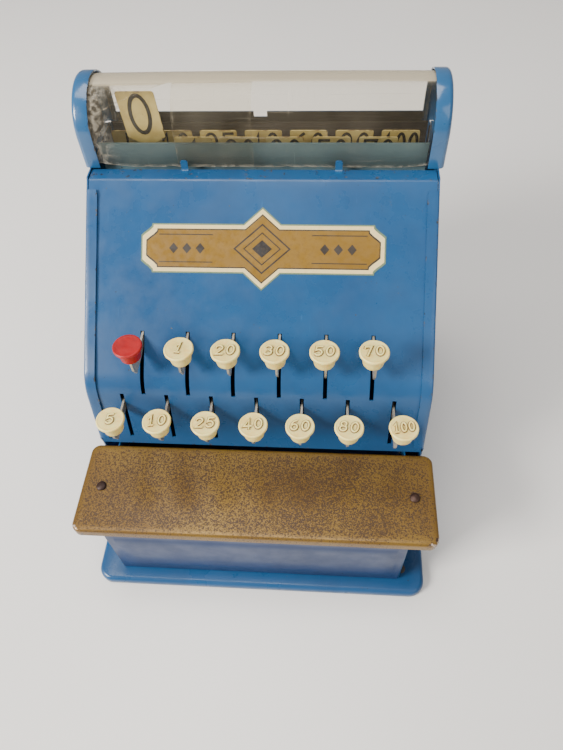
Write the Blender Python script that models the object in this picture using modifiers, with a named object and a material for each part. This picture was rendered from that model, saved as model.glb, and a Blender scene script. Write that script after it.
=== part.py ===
"""Toy cash register in pressed tinplate: thirteen keys that raise number flags, and a sprung drawer.

+X is to the right of someone facing the keys, the front faces -Y and +Z is up. The origin is on
the surface it stands on, at the middle of the plinth. All sizes are in metres.
"""

import math

import bmesh
import bpy
from mathutils import Matrix, Vector

# Sheet metal and clearances
SHEET = 0.0007  # tinplate thickness
GAP = 0.0003  # clearance between pieces that touch or nearly touch
SLIDE_GAP = 0.0004  # clearance beside a piece that slides
THROUGH = 0.010  # how far a cutter passes beyond what it cuts

# Overall sizes
BODY_WIDTH = 0.170  # over the side panels
BODY_DEPTH = 0.1862  # from the drawer's front to the back of the body
CREST_Z = 0.1626  # top of the front panel

# Plinth
PLINTH_MARGIN = 0.005  # how far the plinth stands out beside and behind the body
PLINTH_NOSE = 0.0068  # how far it stands out in front of the drawer
PLINTH_HEIGHT = 0.0054
PLINTH_CORNER = 0.0085
PLINTH_EDGE = 0.0022  # rolled top edge
PLINTH_RIM = 0.0050  # flange turned in underneath

# Drawer and the channel that it slides in
CHANNEL_INSET = 0.0087  # from the body's side to the channel's wall
CHANNEL_BACK_GAP = 0.0060  # between the channel and the back of the body
FLANGE_MARGIN = 0.0035  # from the edge of the channel's flange to the shelf's edge
DRAWER_BAY = 0.0740  # room behind the drawer
TRAY_DROP = 0.0075  # walls of the drawer's tray below the shelf's lip

# Shelf over the drawer
SHELF_TOP = 0.0590
SHELF_DEPTH = 0.0457
SHELF_OVERHANG = 0.0045  # beyond the body, each side
SHELF_LIP = 0.0055
SHELF_EDGE = 0.0012
SHELF_CORNER = 0.0045
RIVET_HEAD = 0.0026  # radius
RIVET_DOME = 0.0011  # height of the head
RIVET_TAIL = 0.0010  # height of the closed end
RIVET_SHANK = 0.0011  # radius
RIVET_INSET = 0.0100  # from the shelf's end
HOLE_CLEARANCE = 0.0003

# Front panel: a steep face above the shelf, a wide bend, then the slope up to the window
BEND_Z = 0.1005
BEND_BACK = 0.0114  # of the shelf's back edge
STEEP_BACK = 0.0026  # the foot of the steep face behind the shelf's back edge
BEND_RADIUS = 0.020
CREST_FLANGE = 0.0060  # turned back along the top
CREST_RADIUS = 0.0010
CREST_GAP = 0.0016  # between the flange and the cheeks' front
FOOT_GAP = 0.0015  # between the shelf and the front panel
SIDE_FLANGE = 0.0057  # of each side panel, folded over the front panel
SIDE_FLANGE_START = 0.0050  # above the shelf
SIDE_FLANGE_END = 0.0033  # below the crest
TAB_WIDTH = 0.0034
TAB_SPREAD = 0.075  # between the two window tabs
TAB_HEIGHT = 0.0050

# Window: a bowed transparent sheet between two arched cheeks
CHEEK_RADIUS = 0.021
CHEEK_THICKNESS = 0.0065
CHEEK_OVERHANG = 0.0024  # outside the side panel
CHEEK_EDGE = 0.0020
CHEEK_STRAIGHT = 0.0146  # upright part below the arch
CHEEK_LIFT = 0.0010  # foot above the crest
REAR_RISE = 0.0060  # top of the rear panel above the crest
REAR_EDGE = 0.0050  # turned forward at each side of the rear panel
NOTCH_WIDTH = 0.0070
NOTCH_DEPTH = 0.0030
WINDOW_SHEET = 0.0005
WINDOW_LIFT = 0.0006  # edges above the crest
WINDOW_END_GAP = 0.0016  # between the sheet's end and the cheek

# Keys
KEYS_LOWER = 7
KEYS_UPPER = 6
KEY_MARGIN = 0.0178  # from the body's side to the outermost key
LEVER = 0.0010  # lever thickness
LEVER_HEIGHT = 0.0050
SLOT_WIDTH = 0.0020
UPPER_SLOT_HEIGHT = 0.0223
SLOT_BELOW_BEND = 0.0055  # where the upper slots end and the lower slots start
LOWER_SLOT_FOOT = 0.0065  # above the shelf
UPPER_LEVER_DROP = 0.0007  # lever's top edge below the slot's end
LOWER_LEVER_DROP = 0.0048
UPPER_REACH = 0.0144  # from the panel to the middle of the key's stem
LOWER_REACH = 0.0179
ARM_ROOT = 0.0060  # where the lever narrows, behind the panel
STEM_WIDTH = 0.0048
STEM_POINT = 0.0045  # height of the pointed lower end
CAP_RADIUS = 0.0072
CAP_RIM = 0.0010  # width of the raised rim
CAP_DISH = 0.0003  # depth of the face inside the rim
CAP_ROUND = 0.0006  # rounded edges of the disc
CAP_DISC = 0.0026
CAP_COLLAR = 0.0044  # height
CAP_COLLAR_TOP = 0.0056  # radius
CAP_COLLAR_FOOT = 0.0044  # radius
CAP_SOCKET = 0.0030
CAP_ABOVE_LEVER = 0.0120  # top of the cap above the lever's top edge
SHAFT_RADIUS = 0.0015
HUB_RADIUS = 0.0045
NOSE_RADIUS = 0.0025
NECK = 0.0024  # height of the lever's arm in front of its nose
NECK_LENGTH = 0.0040
SHAFT_BEHIND_BEND = 0.0384
SHAFT_BELOW_BEND = 0.0015

# Number flags
FLAG = 0.0006  # thickness
FLAG_GAP = 0.0040  # between neighbours in one row
FLAG_HEIGHT = 0.0240
FLAG_CORNER = 0.0010  # cut off each upper corner
FLAG_STEM = 0.0050
FLAG_FOOT = 0.0040
NOSE_OVERLAP = 0.0010  # the lever's nose behind the middle of the flag's foot
FLAG_TOP_UPPER = 0.0109  # flag's top above the crest, row of the upper keys
FLAG_TOP_LOWER = 0.0094
FLAG_ROW_UPPER = -0.0099  # row's place from the middle of the window
FLAG_ROW_LOWER = -0.0019
FLAG_HEADROOM = 0.0009  # under the window when raised
GUIDE_Z = 0.0346  # guide plate below the crest
GUIDE_MARGIN = 0.0060
GUIDE_LIP = 0.0080  # turned down at each end of the guide plate
GUARD_TOP = 0.0114  # above the crest
GUARD_CREASE = 0.0035  # above the crest
GUARD_BELOW = 0.0220
GUARD_INSET = 0.0030  # from the window's inner face
GUARD_LEAN = 0.0010  # top in front of the foot
LATCH_GAP = 0.0020  # from the guide plate to the latch bar
LATCH_DROP = 0.0160
LATCH_HEAD = 0.0020
LATCH_LEAN = 0.0035
LATCH_RISE = 0.0060  # the latch's axis above the guide plate

# Pieces behind the drawer
BELL_RADIUS = 0.015
BELL_TOP = 0.030  # above the channel's floor
BELL_DEPTH = 0.0135
BELL_SHELL = 0.0008
BELL_POST = 0.0020  # radius
BELL_X = 0.0425
BELL_GAP = 0.0220  # between the drawer's back and the bell
BALL_RADIUS = 0.0025
BALL_GAP = 0.0008
HAMMER_REACH = 0.0240
HAMMER_PIN = 0.0024  # radius
HAMMER_PIN_TOP = 0.0040  # above the arm
HAMMER_ARM = 0.0009  # radius
HAMMER_RISE = 0.0015  # the arm above the bell's rim
SPRING_X = -0.034
SPRING_RADIUS = 0.0050
SPRING_WIRE = 0.0005  # radius
SPRING_TURNS = 12
SPRING_STEPS = 10  # points in each turn
CATCH_GAP = 0.0025  # between the catch's tooth and the drawer's back
CATCH_CLEAR = 0.0008  # under the catch, over the drawer's back
CATCH_REACH = 0.0160  # the catch's pivot behind the drawer
CATCH_RISE = 0.0120  # the catch's pivot above the drawer's back
CATCH_HUB = 0.0030  # radius
CATCH_BORE = 0.0012  # radius
CATCH_TOOTH = 0.0030
CATCH_ARM = 0.0045  # height of the catch's front end
CATCH_SHEET = 0.0012

# Derived places
HALF = BODY_WIDTH / 2
DRAWER_FRONT = -(BODY_DEPTH + PLINTH_NOSE + PLINTH_MARGIN) / 2 + PLINTH_NOSE
REAR = DRAWER_FRONT + BODY_DEPTH
DRAWER_BACK = REAR - DRAWER_BAY
TRAY_FLOOR = PLINTH_HEIGHT + GAP + SHEET + SLIDE_GAP
TRAY_TOP = SHELF_TOP - SHELF_LIP - TRAY_DROP
CHANNEL_HALF = HALF - CHANNEL_INSET
CHANNEL_BACK = REAR - CHANNEL_BACK_GAP
SHELF_FRONT = DRAWER_FRONT + SHEET
SHELF_BACK = SHELF_FRONT + SHELF_DEPTH
FOOT = (SHELF_BACK + STEEP_BACK, SHELF_TOP + FOOT_GAP)
BEND = (SHELF_BACK + BEND_BACK, BEND_Z)
WINDOW_Y = REAR - CHEEK_RADIUS
CREST = (WINDOW_Y - CHEEK_RADIUS - CREST_GAP - CREST_FLANGE, CREST_Z)
CHEEK_FOOT = CREST_Z + CHEEK_LIFT
ARCH_Z = CHEEK_FOOT + CHEEK_STRAIGHT
WINDOW_RADIUS = CHEEK_RADIUS - SHEET - SLIDE_GAP
CHEEK_OUTER = HALF + CHEEK_OVERHANG
CHEEK_INNER = CHEEK_OUTER - CHEEK_THICKNESS
CHANNEL_FLOOR = PLINTH_HEIGHT + GAP + SHEET
PANEL_HALF = HALF - SHEET - SLIDE_GAP
KEY_PITCH = (BODY_WIDTH - 2 * KEY_MARGIN) / (KEYS_LOWER - 1)
SHAFT = (BEND[0] + SHAFT_BEHIND_BEND, BEND_Z - SHAFT_BELOW_BEND)
SLOT_SPLIT = BEND_Z - SLOT_BELOW_BEND

COLOURS = {
    "blue": ((0.075, 0.215, 0.440), 0.38, 0.0),
    "dull_blue": ((0.060, 0.120, 0.180), 0.55, 0.0),
    "gold": ((0.36, 0.22, 0.06), 0.45, 0.6),
    "cream": ((0.88, 0.76, 0.46), 0.35, 0.0),
    "red": ((0.60, 0.02, 0.04), 0.30, 0.0),
    "zinc": ((0.62, 0.60, 0.56), 0.40, 0.9),
    "brown_metal": ((0.07, 0.04, 0.03), 0.50, 0.6),
    "card": ((0.62, 0.54, 0.36), 0.70, 0.0),
    "celluloid": ((0.80, 0.78, 0.62), 0.15, 0.0),
}


def clear_scene():
    for item in list(bpy.data.objects):
        bpy.data.objects.remove(item, do_unlink=True)


def new_collection(name):
    collection = bpy.data.collections.new(name)
    bpy.context.scene.collection.children.link(collection)
    return collection


def make_material(name, colour):
    (red, green, blue), roughness, metallic = COLOURS[colour]
    material = bpy.data.materials.new(name)
    material.use_nodes = True
    shader = material.node_tree.nodes["Principled BSDF"]
    shader.inputs["Base Color"].default_value = (red, green, blue, 1.0)
    shader.inputs["Roughness"].default_value = roughness
    shader.inputs["Metallic"].default_value = metallic
    return material


def add_part(name, bm, colour, at=(0.0, 0.0, 0.0), parent=None):
    """Makes a part of a bmesh whose points are measured from the part's own origin."""
    mesh = bpy.data.meshes.new(name)
    bm.to_mesh(mesh)
    bm.free()
    part = bpy.data.objects.new(name, mesh)
    part.location = at
    part.parent = parent
    mesh.materials.append(make_material(name, colour))
    PARTS.objects.link(part)
    return part


def add_cutter(name, bm, at=(0.0, 0.0, 0.0)):
    mesh = bpy.data.meshes.new(name)
    bm.to_mesh(mesh)
    bm.free()
    cutter = bpy.data.objects.new(name, mesh)
    cutter.location = at
    cutter.hide_render = True
    cutter.display_type = "WIRE"
    CUTTERS.objects.link(cutter)
    return cutter


def boolean(part, tool, operation="DIFFERENCE"):
    modifier = part.modifiers.new(operation.title(), "BOOLEAN")
    modifier.operation = operation
    modifier.solver = "EXACT"
    modifier.object = tool


def solidify(part, thickness, offset):
    modifier = part.modifiers.new("Sheet", "SOLIDIFY")
    modifier.thickness = thickness
    modifier.offset = offset
    modifier.use_even_offset = True


def smooth(part, degrees=40):
    part.data.shade_smooth()
    part.data.set_sharp_from_angle(angle=math.radians(degrees))


def add_box(bm, low, high):
    size = [b - a for a, b in zip(low, high)]
    middle = [(a + b) / 2 for a, b in zip(low, high)]
    place = Matrix.Translation(middle) @ Matrix.Diagonal((*size, 1.0))
    bmesh.ops.create_cube(bm, size=1.0, matrix=place)


def box(low, high):
    bm = bmesh.new()
    add_box(bm, low, high)
    return bm


def add_cylinder(bm, radius, start, end, segments=16):
    start, end = Vector(start), Vector(end)
    turn = (end - start).to_track_quat("Z", "Y").to_matrix().to_4x4()
    bmesh.ops.create_cone(
        bm,
        cap_ends=True,
        segments=segments,
        radius1=radius,
        radius2=radius,
        depth=(end - start).length,
        matrix=Matrix.Translation((start + end) / 2) @ turn,
    )


def extrude_outline(points, along):
    """A solid of a closed outline of 3D points, extruded by a vector."""
    bm = bmesh.new()
    face = bm.faces.new([bm.verts.new(p) for p in points])
    extruded = bmesh.ops.extrude_face_region(bm, geom=[face], use_keep_orig=True)
    moved = [v for v in extruded["geom"] if isinstance(v, bmesh.types.BMVert)]
    bmesh.ops.translate(bm, vec=along, verts=moved)
    bmesh.ops.recalc_face_normals(bm, faces=bm.faces)
    return bm


def plate_yz(outline, x_low, x_high):
    return extrude_outline([(x_low, y, z) for y, z in outline], (x_high - x_low, 0.0, 0.0))


def sheet_surface(path, along):
    """An open surface: a line of 3D points extruded by a vector."""
    bm = bmesh.new()
    verts = [bm.verts.new(p) for p in path]
    edges = [bm.edges.new(pair) for pair in zip(verts, verts[1:])]
    extruded = bmesh.ops.extrude_edge_only(bm, edges=edges)
    moved = [v for v in extruded["geom"] if isinstance(v, bmesh.types.BMVert)]
    bmesh.ops.translate(bm, vec=along, verts=moved)
    return bm


def sheet_yz(path, x_low, x_high):
    return sheet_surface([(x_low, y, z) for y, z in path], (x_high - x_low, 0.0, 0.0))


def arc(centre, radius, start, end, steps):
    """Points on an arc, from the start angle to the end angle in degrees."""
    turns = [math.radians(start + (end - start) * k / steps) for k in range(steps + 1)]
    return [(centre[0] + radius * math.cos(t), centre[1] + radius * math.sin(t)) for t in turns]


def fillet(before, corner, after, radius, steps):
    """Points on the arc that rounds a corner of a path."""
    c = Vector(corner)
    a = (Vector(before) - c).normalized()
    b = (Vector(after) - c).normalized()
    half = a.angle(b) / 2
    centre = c + (a + b).normalized() * radius / math.sin(half)
    first = c + a * radius / math.tan(half) - centre
    turn = first.angle_signed(c + b * radius / math.tan(half) - centre)
    return [tuple(centre + Matrix.Rotation(-turn * k / steps, 2) @ first) for k in range(steps + 1)]


def offset_path(path, distance):
    """A path moved to its left by a distance, with its corners kept."""
    points = [Vector(p) for p in path]
    moved = []
    for k, point in enumerate(points):
        before = (point - points[k - 1]).normalized() if k else None
        after = (points[k + 1] - point).normalized() if k + 1 < len(points) else None
        before = before or after
        after = after or before
        normal = Vector((-before.y - after.y, before.x + after.x)).normalized()
        square = normal.dot(Vector((-before.y, before.x)))
        moved.append(tuple(point + normal * distance / square))
    return moved


def rounded_rectangle(x_half, y_low, y_high, corner, steps=4):
    corners = (
        (x_half - corner, y_high - corner, 0),
        (corner - x_half, y_high - corner, 90),
        (corner - x_half, y_low + corner, 180),
        (x_half - corner, y_low + corner, 270),
    )
    return [p for x, y, turn in corners for p in arc((x, y), corner, turn, turn + 90, steps)]


def pan(x_half, y_low, y_high, z_low, z_high, corner, edge):
    """A block with round corners and a rounded top edge."""
    outline = [(x, y, z_low) for x, y in rounded_rectangle(x_half, y_low, y_high, corner)]
    bm = extrude_outline(outline, (0.0, 0.0, z_high - z_low))
    top = [e for e in bm.edges if all(v.co.z > z_high - edge / 2 for v in e.verts)]
    bmesh.ops.bevel(bm, geom=top, offset=edge, segments=3, profile=0.5, affect="EDGES")
    return bm


def panel_path():
    """The front panel's outer face, from its foot to the end of the flange on its crest."""
    bend = fillet(FOOT, BEND, CREST, BEND_RADIUS, 6)
    end = (CREST[0] + CREST_FLANGE, CREST_Z)
    crest = fillet(BEND, CREST, end, CREST_RADIUS, 3)
    return [FOOT, *bend, *crest, end]


def panel_y(z):
    """Where the front panel's outer face is at a height."""
    path = panel_path()
    for low, high in zip(path, path[1:]):
        if low[1] <= z <= high[1]:
            return low[0] + (high[0] - low[0]) * (z - low[1]) / (high[1] - low[1])
    return path[0][0] if z < path[0][1] else path[-1][0]


def cut_path(path, z_low, z_high):
    """The stretch of a path between two heights."""
    inside = [p for p in path if z_low < p[1] < z_high]
    return [(panel_y(z_low), z_low), *inside, (panel_y(z_high), z_high)]


def key_places():
    """Each key's name, place across the body, and whether it is in the upper row."""
    lower = ("5", "10", "25", "40", "60", "80", "100")
    upper = ("0", "1", "20", "30", "50", "70")
    for k, name in enumerate(lower):
        yield name, (k - (KEYS_LOWER - 1) / 2) * KEY_PITCH, False
    for k, name in enumerate(upper):
        yield name, (k - (KEYS_UPPER - 1) / 2) * KEY_PITCH, True


def flag_y(is_upper):
    return WINDOW_Y + (FLAG_ROW_UPPER if is_upper else FLAG_ROW_LOWER)


def flag_top(is_upper):
    return CREST_Z + (FLAG_TOP_UPPER if is_upper else FLAG_TOP_LOWER)


def flag_rise():
    """How far a flag rises: until the front row is just under the window."""
    inner = WINDOW_RADIUS - WINDOW_SHEET
    ceiling = ARCH_Z + math.sqrt(inner**2 - FLAG_ROW_UPPER**2)
    return ceiling - FLAG_HEADROOM - flag_top(True)


def rear_arm(is_upper):
    """Length from the shaft to the nose under the flag."""
    return flag_y(is_upper) - FLAG_FOOT / 2 - SHAFT[0] + NOSE_OVERLAP


def key_angle(is_upper):
    """How far a key turns, in radians, to raise its flag."""
    return 2 * math.asin(flag_rise() / (2 * rear_arm(is_upper)))


def nose_place(is_upper):
    """The centre of the lever's nose at rest, in Y and Z from the shaft."""
    down = key_angle(is_upper) / 2
    return rear_arm(is_upper) * math.cos(down), -rear_arm(is_upper) * math.sin(down)


def lever_top(is_upper):
    slot_end = SLOT_SPLIT + (UPPER_SLOT_HEIGHT if is_upper else 0.0)
    return slot_end - (UPPER_LEVER_DROP if is_upper else LOWER_LEVER_DROP)


def stem_y(is_upper):
    low = lever_top(is_upper) - LEVER_HEIGHT
    return panel_y(low) - (UPPER_REACH if is_upper else LOWER_REACH)


def hub_rim(start, end):
    """The hub's edge between a lever's arms: an arc outside their bend, one point inside it."""
    middle = math.radians((start + end) / 2)
    if end > start:
        return [(HUB_RADIUS * math.cos(middle), HUB_RADIUS * math.sin(middle))]
    return arc((0.0, 0.0), HUB_RADIUS, start, end, 4)


def lever_outline(is_upper):
    """The lever's side view, from the shaft: nose, hub, arm through the slot, pointed stem."""
    top = lever_top(is_upper) - SHAFT[1]
    low = top - LEVER_HEIGHT
    stem = stem_y(is_upper) - SHAFT[0]
    crossing = panel_y(lever_top(is_upper)) - SHAFT[0] + ARM_ROOT
    nose = nose_place(is_upper)
    down = math.degrees(key_angle(is_upper) / 2)
    front = math.degrees(math.atan2((top + low) / 2, -crossing))
    cap_foot = top + CAP_ABOVE_LEVER - CAP_DISC - CAP_COLLAR
    stem_top = cap_foot + CAP_SOCKET - GAP
    along = Vector(nose).normalized()
    neck = Vector(nose) - NECK_LENGTH * along + NECK / 2 * Vector((-along.y, along.x))
    outline = [tuple(neck), *arc(nose, NOSE_RADIUS, 150, -90 - down, 8)]
    outline += hub_rim(-90 - down, -90 - front)
    outline += [
        (crossing, low),
        (stem + STEM_WIDTH / 2, low),
        (stem, low - GAP),
        (stem - STEM_WIDTH / 2, low + STEM_POINT),
        (stem - STEM_WIDTH / 2, stem_top),
        (stem + STEM_WIDTH / 2, stem_top),
        (stem + STEM_WIDTH / 2, top),
        (crossing, top),
    ]
    return outline + hub_rim(90 - front, 90 - down)


def base_plate():
    """Pressed plinth, open underneath inside a flat rim."""
    half, front = HALF + PLINTH_MARGIN, DRAWER_FRONT - PLINTH_NOSE
    back = REAR + PLINTH_MARGIN
    bm = pan(half, front, back, 0.0, PLINTH_HEIGHT, PLINTH_CORNER, PLINTH_EDGE)
    plate = add_part("base_plate", bm, "blue")
    inner = pan(
        half - SHEET,
        front + SHEET,
        back - SHEET,
        SHEET,
        PLINTH_HEIGHT - SHEET,
        PLINTH_CORNER - SHEET,
        PLINTH_EDGE - SHEET,
    )
    boolean(plate, add_cutter("plinth_hollow", inner))
    opening = pan(
        half - PLINTH_RIM,
        front + PLINTH_RIM,
        back - PLINTH_RIM,
        -SHEET,
        2 * SHEET,
        PLINTH_CORNER / 2,
        SHEET / 4,
    )
    boolean(plate, add_cutter("plinth_opening", opening))
    smooth(plate)


def rivet_places():
    x = HALF + SHELF_OVERHANG - RIVET_INSET
    return [(side * x, (SHELF_FRONT + SHELF_BACK) / 2) for side in (-1, 1)]


def rivet_holes():
    bm = bmesh.new()
    for x, y in rivet_places():
        radius = RIVET_SHANK + HOLE_CLEARANCE
        add_cylinder(bm, radius, (x, y, SHELF_TOP - THROUGH), (x, y, SHELF_TOP + THROUGH))
    return add_cutter("rivet_holes", bm)


def drawer_channel(holes):
    """Open channel that the drawer slides in, with flanges that carry the shelf."""
    half, front, back = CHANNEL_HALF, SHELF_FRONT + SHEET + GAP, CHANNEL_BACK
    top = SHELF_TOP - SHEET - GAP
    channel = add_part(
        "drawer_channel",
        box((-half, front, PLINTH_HEIGHT + GAP), (half, back, top)),
        "dull_blue",
    )
    wide, flange_back = HALF + SHELF_OVERHANG - FLANGE_MARGIN, SHELF_BACK - FLANGE_MARGIN
    flange = box((-wide, front, top - SHEET), (wide, flange_back, top))
    boolean(channel, add_cutter("channel_flange", flange), "UNION")
    room = box(
        (SHEET - half, front - THROUGH, CHANNEL_FLOOR),
        (half - SHEET, back - SHEET, top + THROUGH),
    )
    boolean(channel, add_cutter("channel_room", room))
    boolean(channel, holes)


def shelf(holes):
    """Shelf over the drawer, with a lip along its front and its ends."""
    half, low = HALF + SHELF_OVERHANG, SHELF_TOP - SHELF_LIP
    bm = pan(half, SHELF_FRONT, SHELF_BACK, low, SHELF_TOP, SHELF_CORNER, SHELF_EDGE)
    plate = add_part("shelf", bm, "gold")
    inner = pan(
        half - SHEET,
        SHELF_FRONT + SHEET,
        SHELF_BACK + SHELF_CORNER + SHEET,
        low - SHEET,
        SHELF_TOP - SHEET,
        SHELF_CORNER - SHEET,
        SHELF_EDGE - SHEET / 2,
    )
    boolean(plate, add_cutter("shelf_hollow", inner))
    boolean(plate, holes)
    smooth(plate)


def shelf_rivets():
    """Domed rivets that hold the shelf to the channel's flanges."""
    head = SHELF_TOP + GAP
    tail = SHELF_TOP - 2 * SHEET - 3 * GAP
    profile = [
        (0.0, head + RIVET_DOME),
        (RIVET_HEAD * 0.55, head + RIVET_DOME * 0.82),
        (RIVET_HEAD * 0.90, head + RIVET_DOME * 0.45),
        (RIVET_HEAD, head),
        (RIVET_SHANK, head),
        (RIVET_SHANK, tail),
        (RIVET_SHANK * 1.6, tail),
        (RIVET_SHANK * 1.4, tail - RIVET_TAIL),
        (0.0, tail - RIVET_TAIL),
    ]
    for (x, y), side in zip(rivet_places(), ("left", "right")):
        rivet = turned(f"shelf_rivet_{side}", profile, (x, y, 0.0), "brown_metal", 16)
        smooth(rivet)


def turned(name, profile, at, colour, steps):
    """A solid of a profile of radius and height, turned about Z."""
    bm = bmesh.new()
    verts = [bm.verts.new((radius, 0.0, z)) for radius, z in profile]
    for pair in zip(verts, verts[1:]):
        bm.edges.new(pair)
    part = add_part(name, bm, colour, at)
    screw = part.modifiers.new("Turn", "SCREW")
    screw.steps = steps
    screw.render_steps = steps
    screw.use_merge_vertices = True
    screw.merge_threshold = 0.00001
    return part


def front_panel():
    """Bent front panel with a slot for each key and two tabs that hold the window."""
    panel = add_part("front_panel", sheet_yz(panel_path(), -PANEL_HALF, PANEL_HALF), "blue")
    solidify(panel, SHEET, -1.0)
    bm = bmesh.new()
    for _, x, is_upper in key_places():
        low = SLOT_SPLIT if is_upper else SHELF_TOP + LOWER_SLOT_FOOT
        high = SLOT_SPLIT + UPPER_SLOT_HEIGHT if is_upper else SLOT_SPLIT
        side = SLOT_WIDTH / 2
        add_box(bm, (x - side, FOOT[0] - THROUGH, low), (x + side, SHAFT[0], high))
    boolean(panel, add_cutter("key_slots", bm))
    end = CREST[0] + CREST_FLANGE
    for side in (-1, 1):
        x = side * TAB_SPREAD / 2
        back = WINDOW_Y - WINDOW_RADIUS - SLIDE_GAP
        tab = [
            (end - SHEET, CREST_Z),
            (end - SHEET, CREST_Z - SHEET),
            (back, CREST_Z - SHEET),
            (back, CREST_Z + TAB_HEIGHT),
            (back - SHEET, CREST_Z + TAB_HEIGHT),
            (back - SHEET, CREST_Z),
        ]
        cutter = plate_yz(tab, x - TAB_WIDTH / 2, x + TAB_WIDTH / 2)
        boolean(panel, add_cutter(f"window_tab_{side}", cutter), "UNION")


def side_panel(name, side):
    """Side of the body, with a flange folded over the front panel's edge."""
    stand_off = SHEET + GAP
    start, end = SHELF_TOP + SIDE_FLANGE_START, CREST_Z - SIDE_FLANGE_END
    flange = offset_path(cut_path(panel_path(), start, end), stand_off)
    top = CHEEK_FOOT - GAP
    step = PLINTH_HEIGHT + GAP
    outline = [
        (FOOT[0] + stand_off, step),
        (FOOT[0] + stand_off, SHELF_TOP),
        (panel_y(start), start - GAP),
        *flange,
        (CREST[0] - GAP, CREST_Z - GAP),
        (CREST[0] + GAP, top),
        (REAR, top),
        (REAR, step),
    ]
    bm = bmesh.new()
    verts = [bm.verts.new((side * HALF, y, z)) for y, z in outline]
    plate = bm.faces.new(verts)
    folded = verts[3 : 3 + len(flange)]
    edges = [bm.edges.get(pair) for pair in zip(folded, folded[1:])]
    turned_in = bmesh.ops.extrude_edge_only(bm, edges=edges)
    moved = [v for v in turned_in["geom"] if isinstance(v, bmesh.types.BMVert)]
    bmesh.ops.translate(bm, vec=(-side * SIDE_FLANGE, 0.0, 0.0), verts=moved)
    bmesh.ops.recalc_face_normals(bm, faces=bm.faces)
    if plate.normal.x * side < 0:
        bmesh.ops.reverse_faces(bm, faces=bm.faces)
    solidify(add_part(name, bm, "blue"), SHEET, -1.0)


def rear_panel():
    """Back of the body: a sheet with edges turned forward and a finger notch in its top."""
    low = PLINTH_HEIGHT + GAP
    path = [
        (-PANEL_HALF, REAR - REAR_EDGE, low),
        (-PANEL_HALF, REAR, low),
        (PANEL_HALF, REAR, low),
        (PANEL_HALF, REAR - REAR_EDGE, low),
    ]
    top = CREST_Z + REAR_RISE
    panel = add_part("rear_panel", sheet_surface(path, (0.0, 0.0, top - low)), "blue")
    solidify(panel, SHEET, -1.0)
    bm = bmesh.new()
    clear = CHEEK_INNER - SLIDE_GAP
    front, back, above = REAR - THROUGH, REAR + THROUGH, top + THROUGH
    for side in (-1, 1):
        left, right = sorted((side * clear, side * (HALF + THROUGH)))
        add_box(bm, (left, front, CHEEK_FOOT - GAP), (right, back, above))
    add_box(bm, (-NOTCH_WIDTH, front, top - NOTCH_DEPTH), (0.0, back, above))
    boolean(panel, add_cutter("rear_panel_cuts", bm))


def cheek(name, side):
    """Arched cheek beside the window: a shallow drawn cup, open towards the window."""
    outline = [
        (WINDOW_Y - CHEEK_RADIUS, CHEEK_FOOT),
        *arc((WINDOW_Y, ARCH_Z), CHEEK_RADIUS, 180, 0, 16),
        (REAR, CHEEK_FOOT),
    ]
    bm = bmesh.new()
    verts = [bm.verts.new((side * CHEEK_OUTER, y, z)) for y, z in outline]
    plate = bm.faces.new(verts)
    rim = bmesh.ops.extrude_edge_only(bm, edges=list(bm.edges))
    moved = [v for v in rim["geom"] if isinstance(v, bmesh.types.BMVert)]
    bmesh.ops.translate(bm, vec=(-side * CHEEK_THICKNESS, 0.0, 0.0), verts=moved)
    bmesh.ops.bevel(
        bm, geom=list(plate.edges), offset=CHEEK_EDGE, segments=3, profile=0.5, affect="EDGES"
    )
    bmesh.ops.recalc_face_normals(bm, faces=bm.faces)
    flat = max(bm.faces, key=lambda face: face.calc_area())
    if flat.normal.x * side < 0:
        bmesh.ops.reverse_faces(bm, faces=bm.faces)
    part = add_part(name, bm, "blue")
    solidify(part, SHEET, -1.0)
    smooth(part)


def window():
    """Transparent sheet bowed over the flags."""
    low = CREST_Z + WINDOW_LIFT
    path = [
        (WINDOW_Y - WINDOW_RADIUS, low),
        *arc((WINDOW_Y, ARCH_Z), WINDOW_RADIUS, 180, 0, 20),
        (WINDOW_Y + WINDOW_RADIUS, low),
    ]
    end = CHEEK_INNER - WINDOW_END_GAP
    sheet = add_part("window", sheet_yz(path, -end, end), "celluloid")
    solidify(sheet, WINDOW_SHEET, -1.0)
    smooth(sheet)


def front_guard():
    """Strip in front of the flags, creased along its length."""
    top = CREST_Z + GUARD_TOP
    crease = CREST_Z + GUARD_CREASE
    front = WINDOW_Y - WINDOW_RADIUS + WINDOW_SHEET + GUARD_INSET
    back = front + GUARD_LEAN
    path = [(back, CREST_Z - GUARD_BELOW), (back, crease), (front, top)]
    end = CHEEK_INNER - WINDOW_END_GAP
    guard = add_part("front_guard", sheet_yz(path, -end, end), "dull_blue")
    solidify(guard, SHEET, -1.0)


def flag_guide():
    """Guide plate between the sides, with a slot for each flag's stem."""
    z = CREST_Z - GUIDE_Z
    front = flag_y(True) - GUIDE_MARGIN
    back = flag_y(False) + GUIDE_MARGIN
    path = [
        (-PANEL_HALF, front, z - GUIDE_LIP),
        (-PANEL_HALF, front, z),
        (PANEL_HALF, front, z),
        (PANEL_HALF, front, z - GUIDE_LIP),
    ]
    guide = add_part("flag_guide", sheet_surface(path, (0.0, back - front, 0.0)), "zinc")
    solidify(guide, SHEET, 1.0)
    bm = bmesh.new()
    for _, x, is_upper in key_places():
        side = FLAG_STEM / 2 + SLIDE_GAP
        y = flag_y(is_upper)
        low = (x - side, y - FLAG - SLIDE_GAP, z - 2 * SHEET)
        add_box(bm, low, (x + side, y + SLIDE_GAP, z + 2 * SHEET))
    boolean(guide, add_cutter("flag_slots", bm))


def key_shaft():
    """Shaft that all the levers turn on."""
    bm = bmesh.new()
    add_cylinder(bm, SHAFT_RADIUS, (-PANEL_HALF, 0.0, 0.0), (PANEL_HALF, 0.0, 0.0))
    smooth(add_part("key_shaft", bm, "zinc", (0.0, *SHAFT)))


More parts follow.
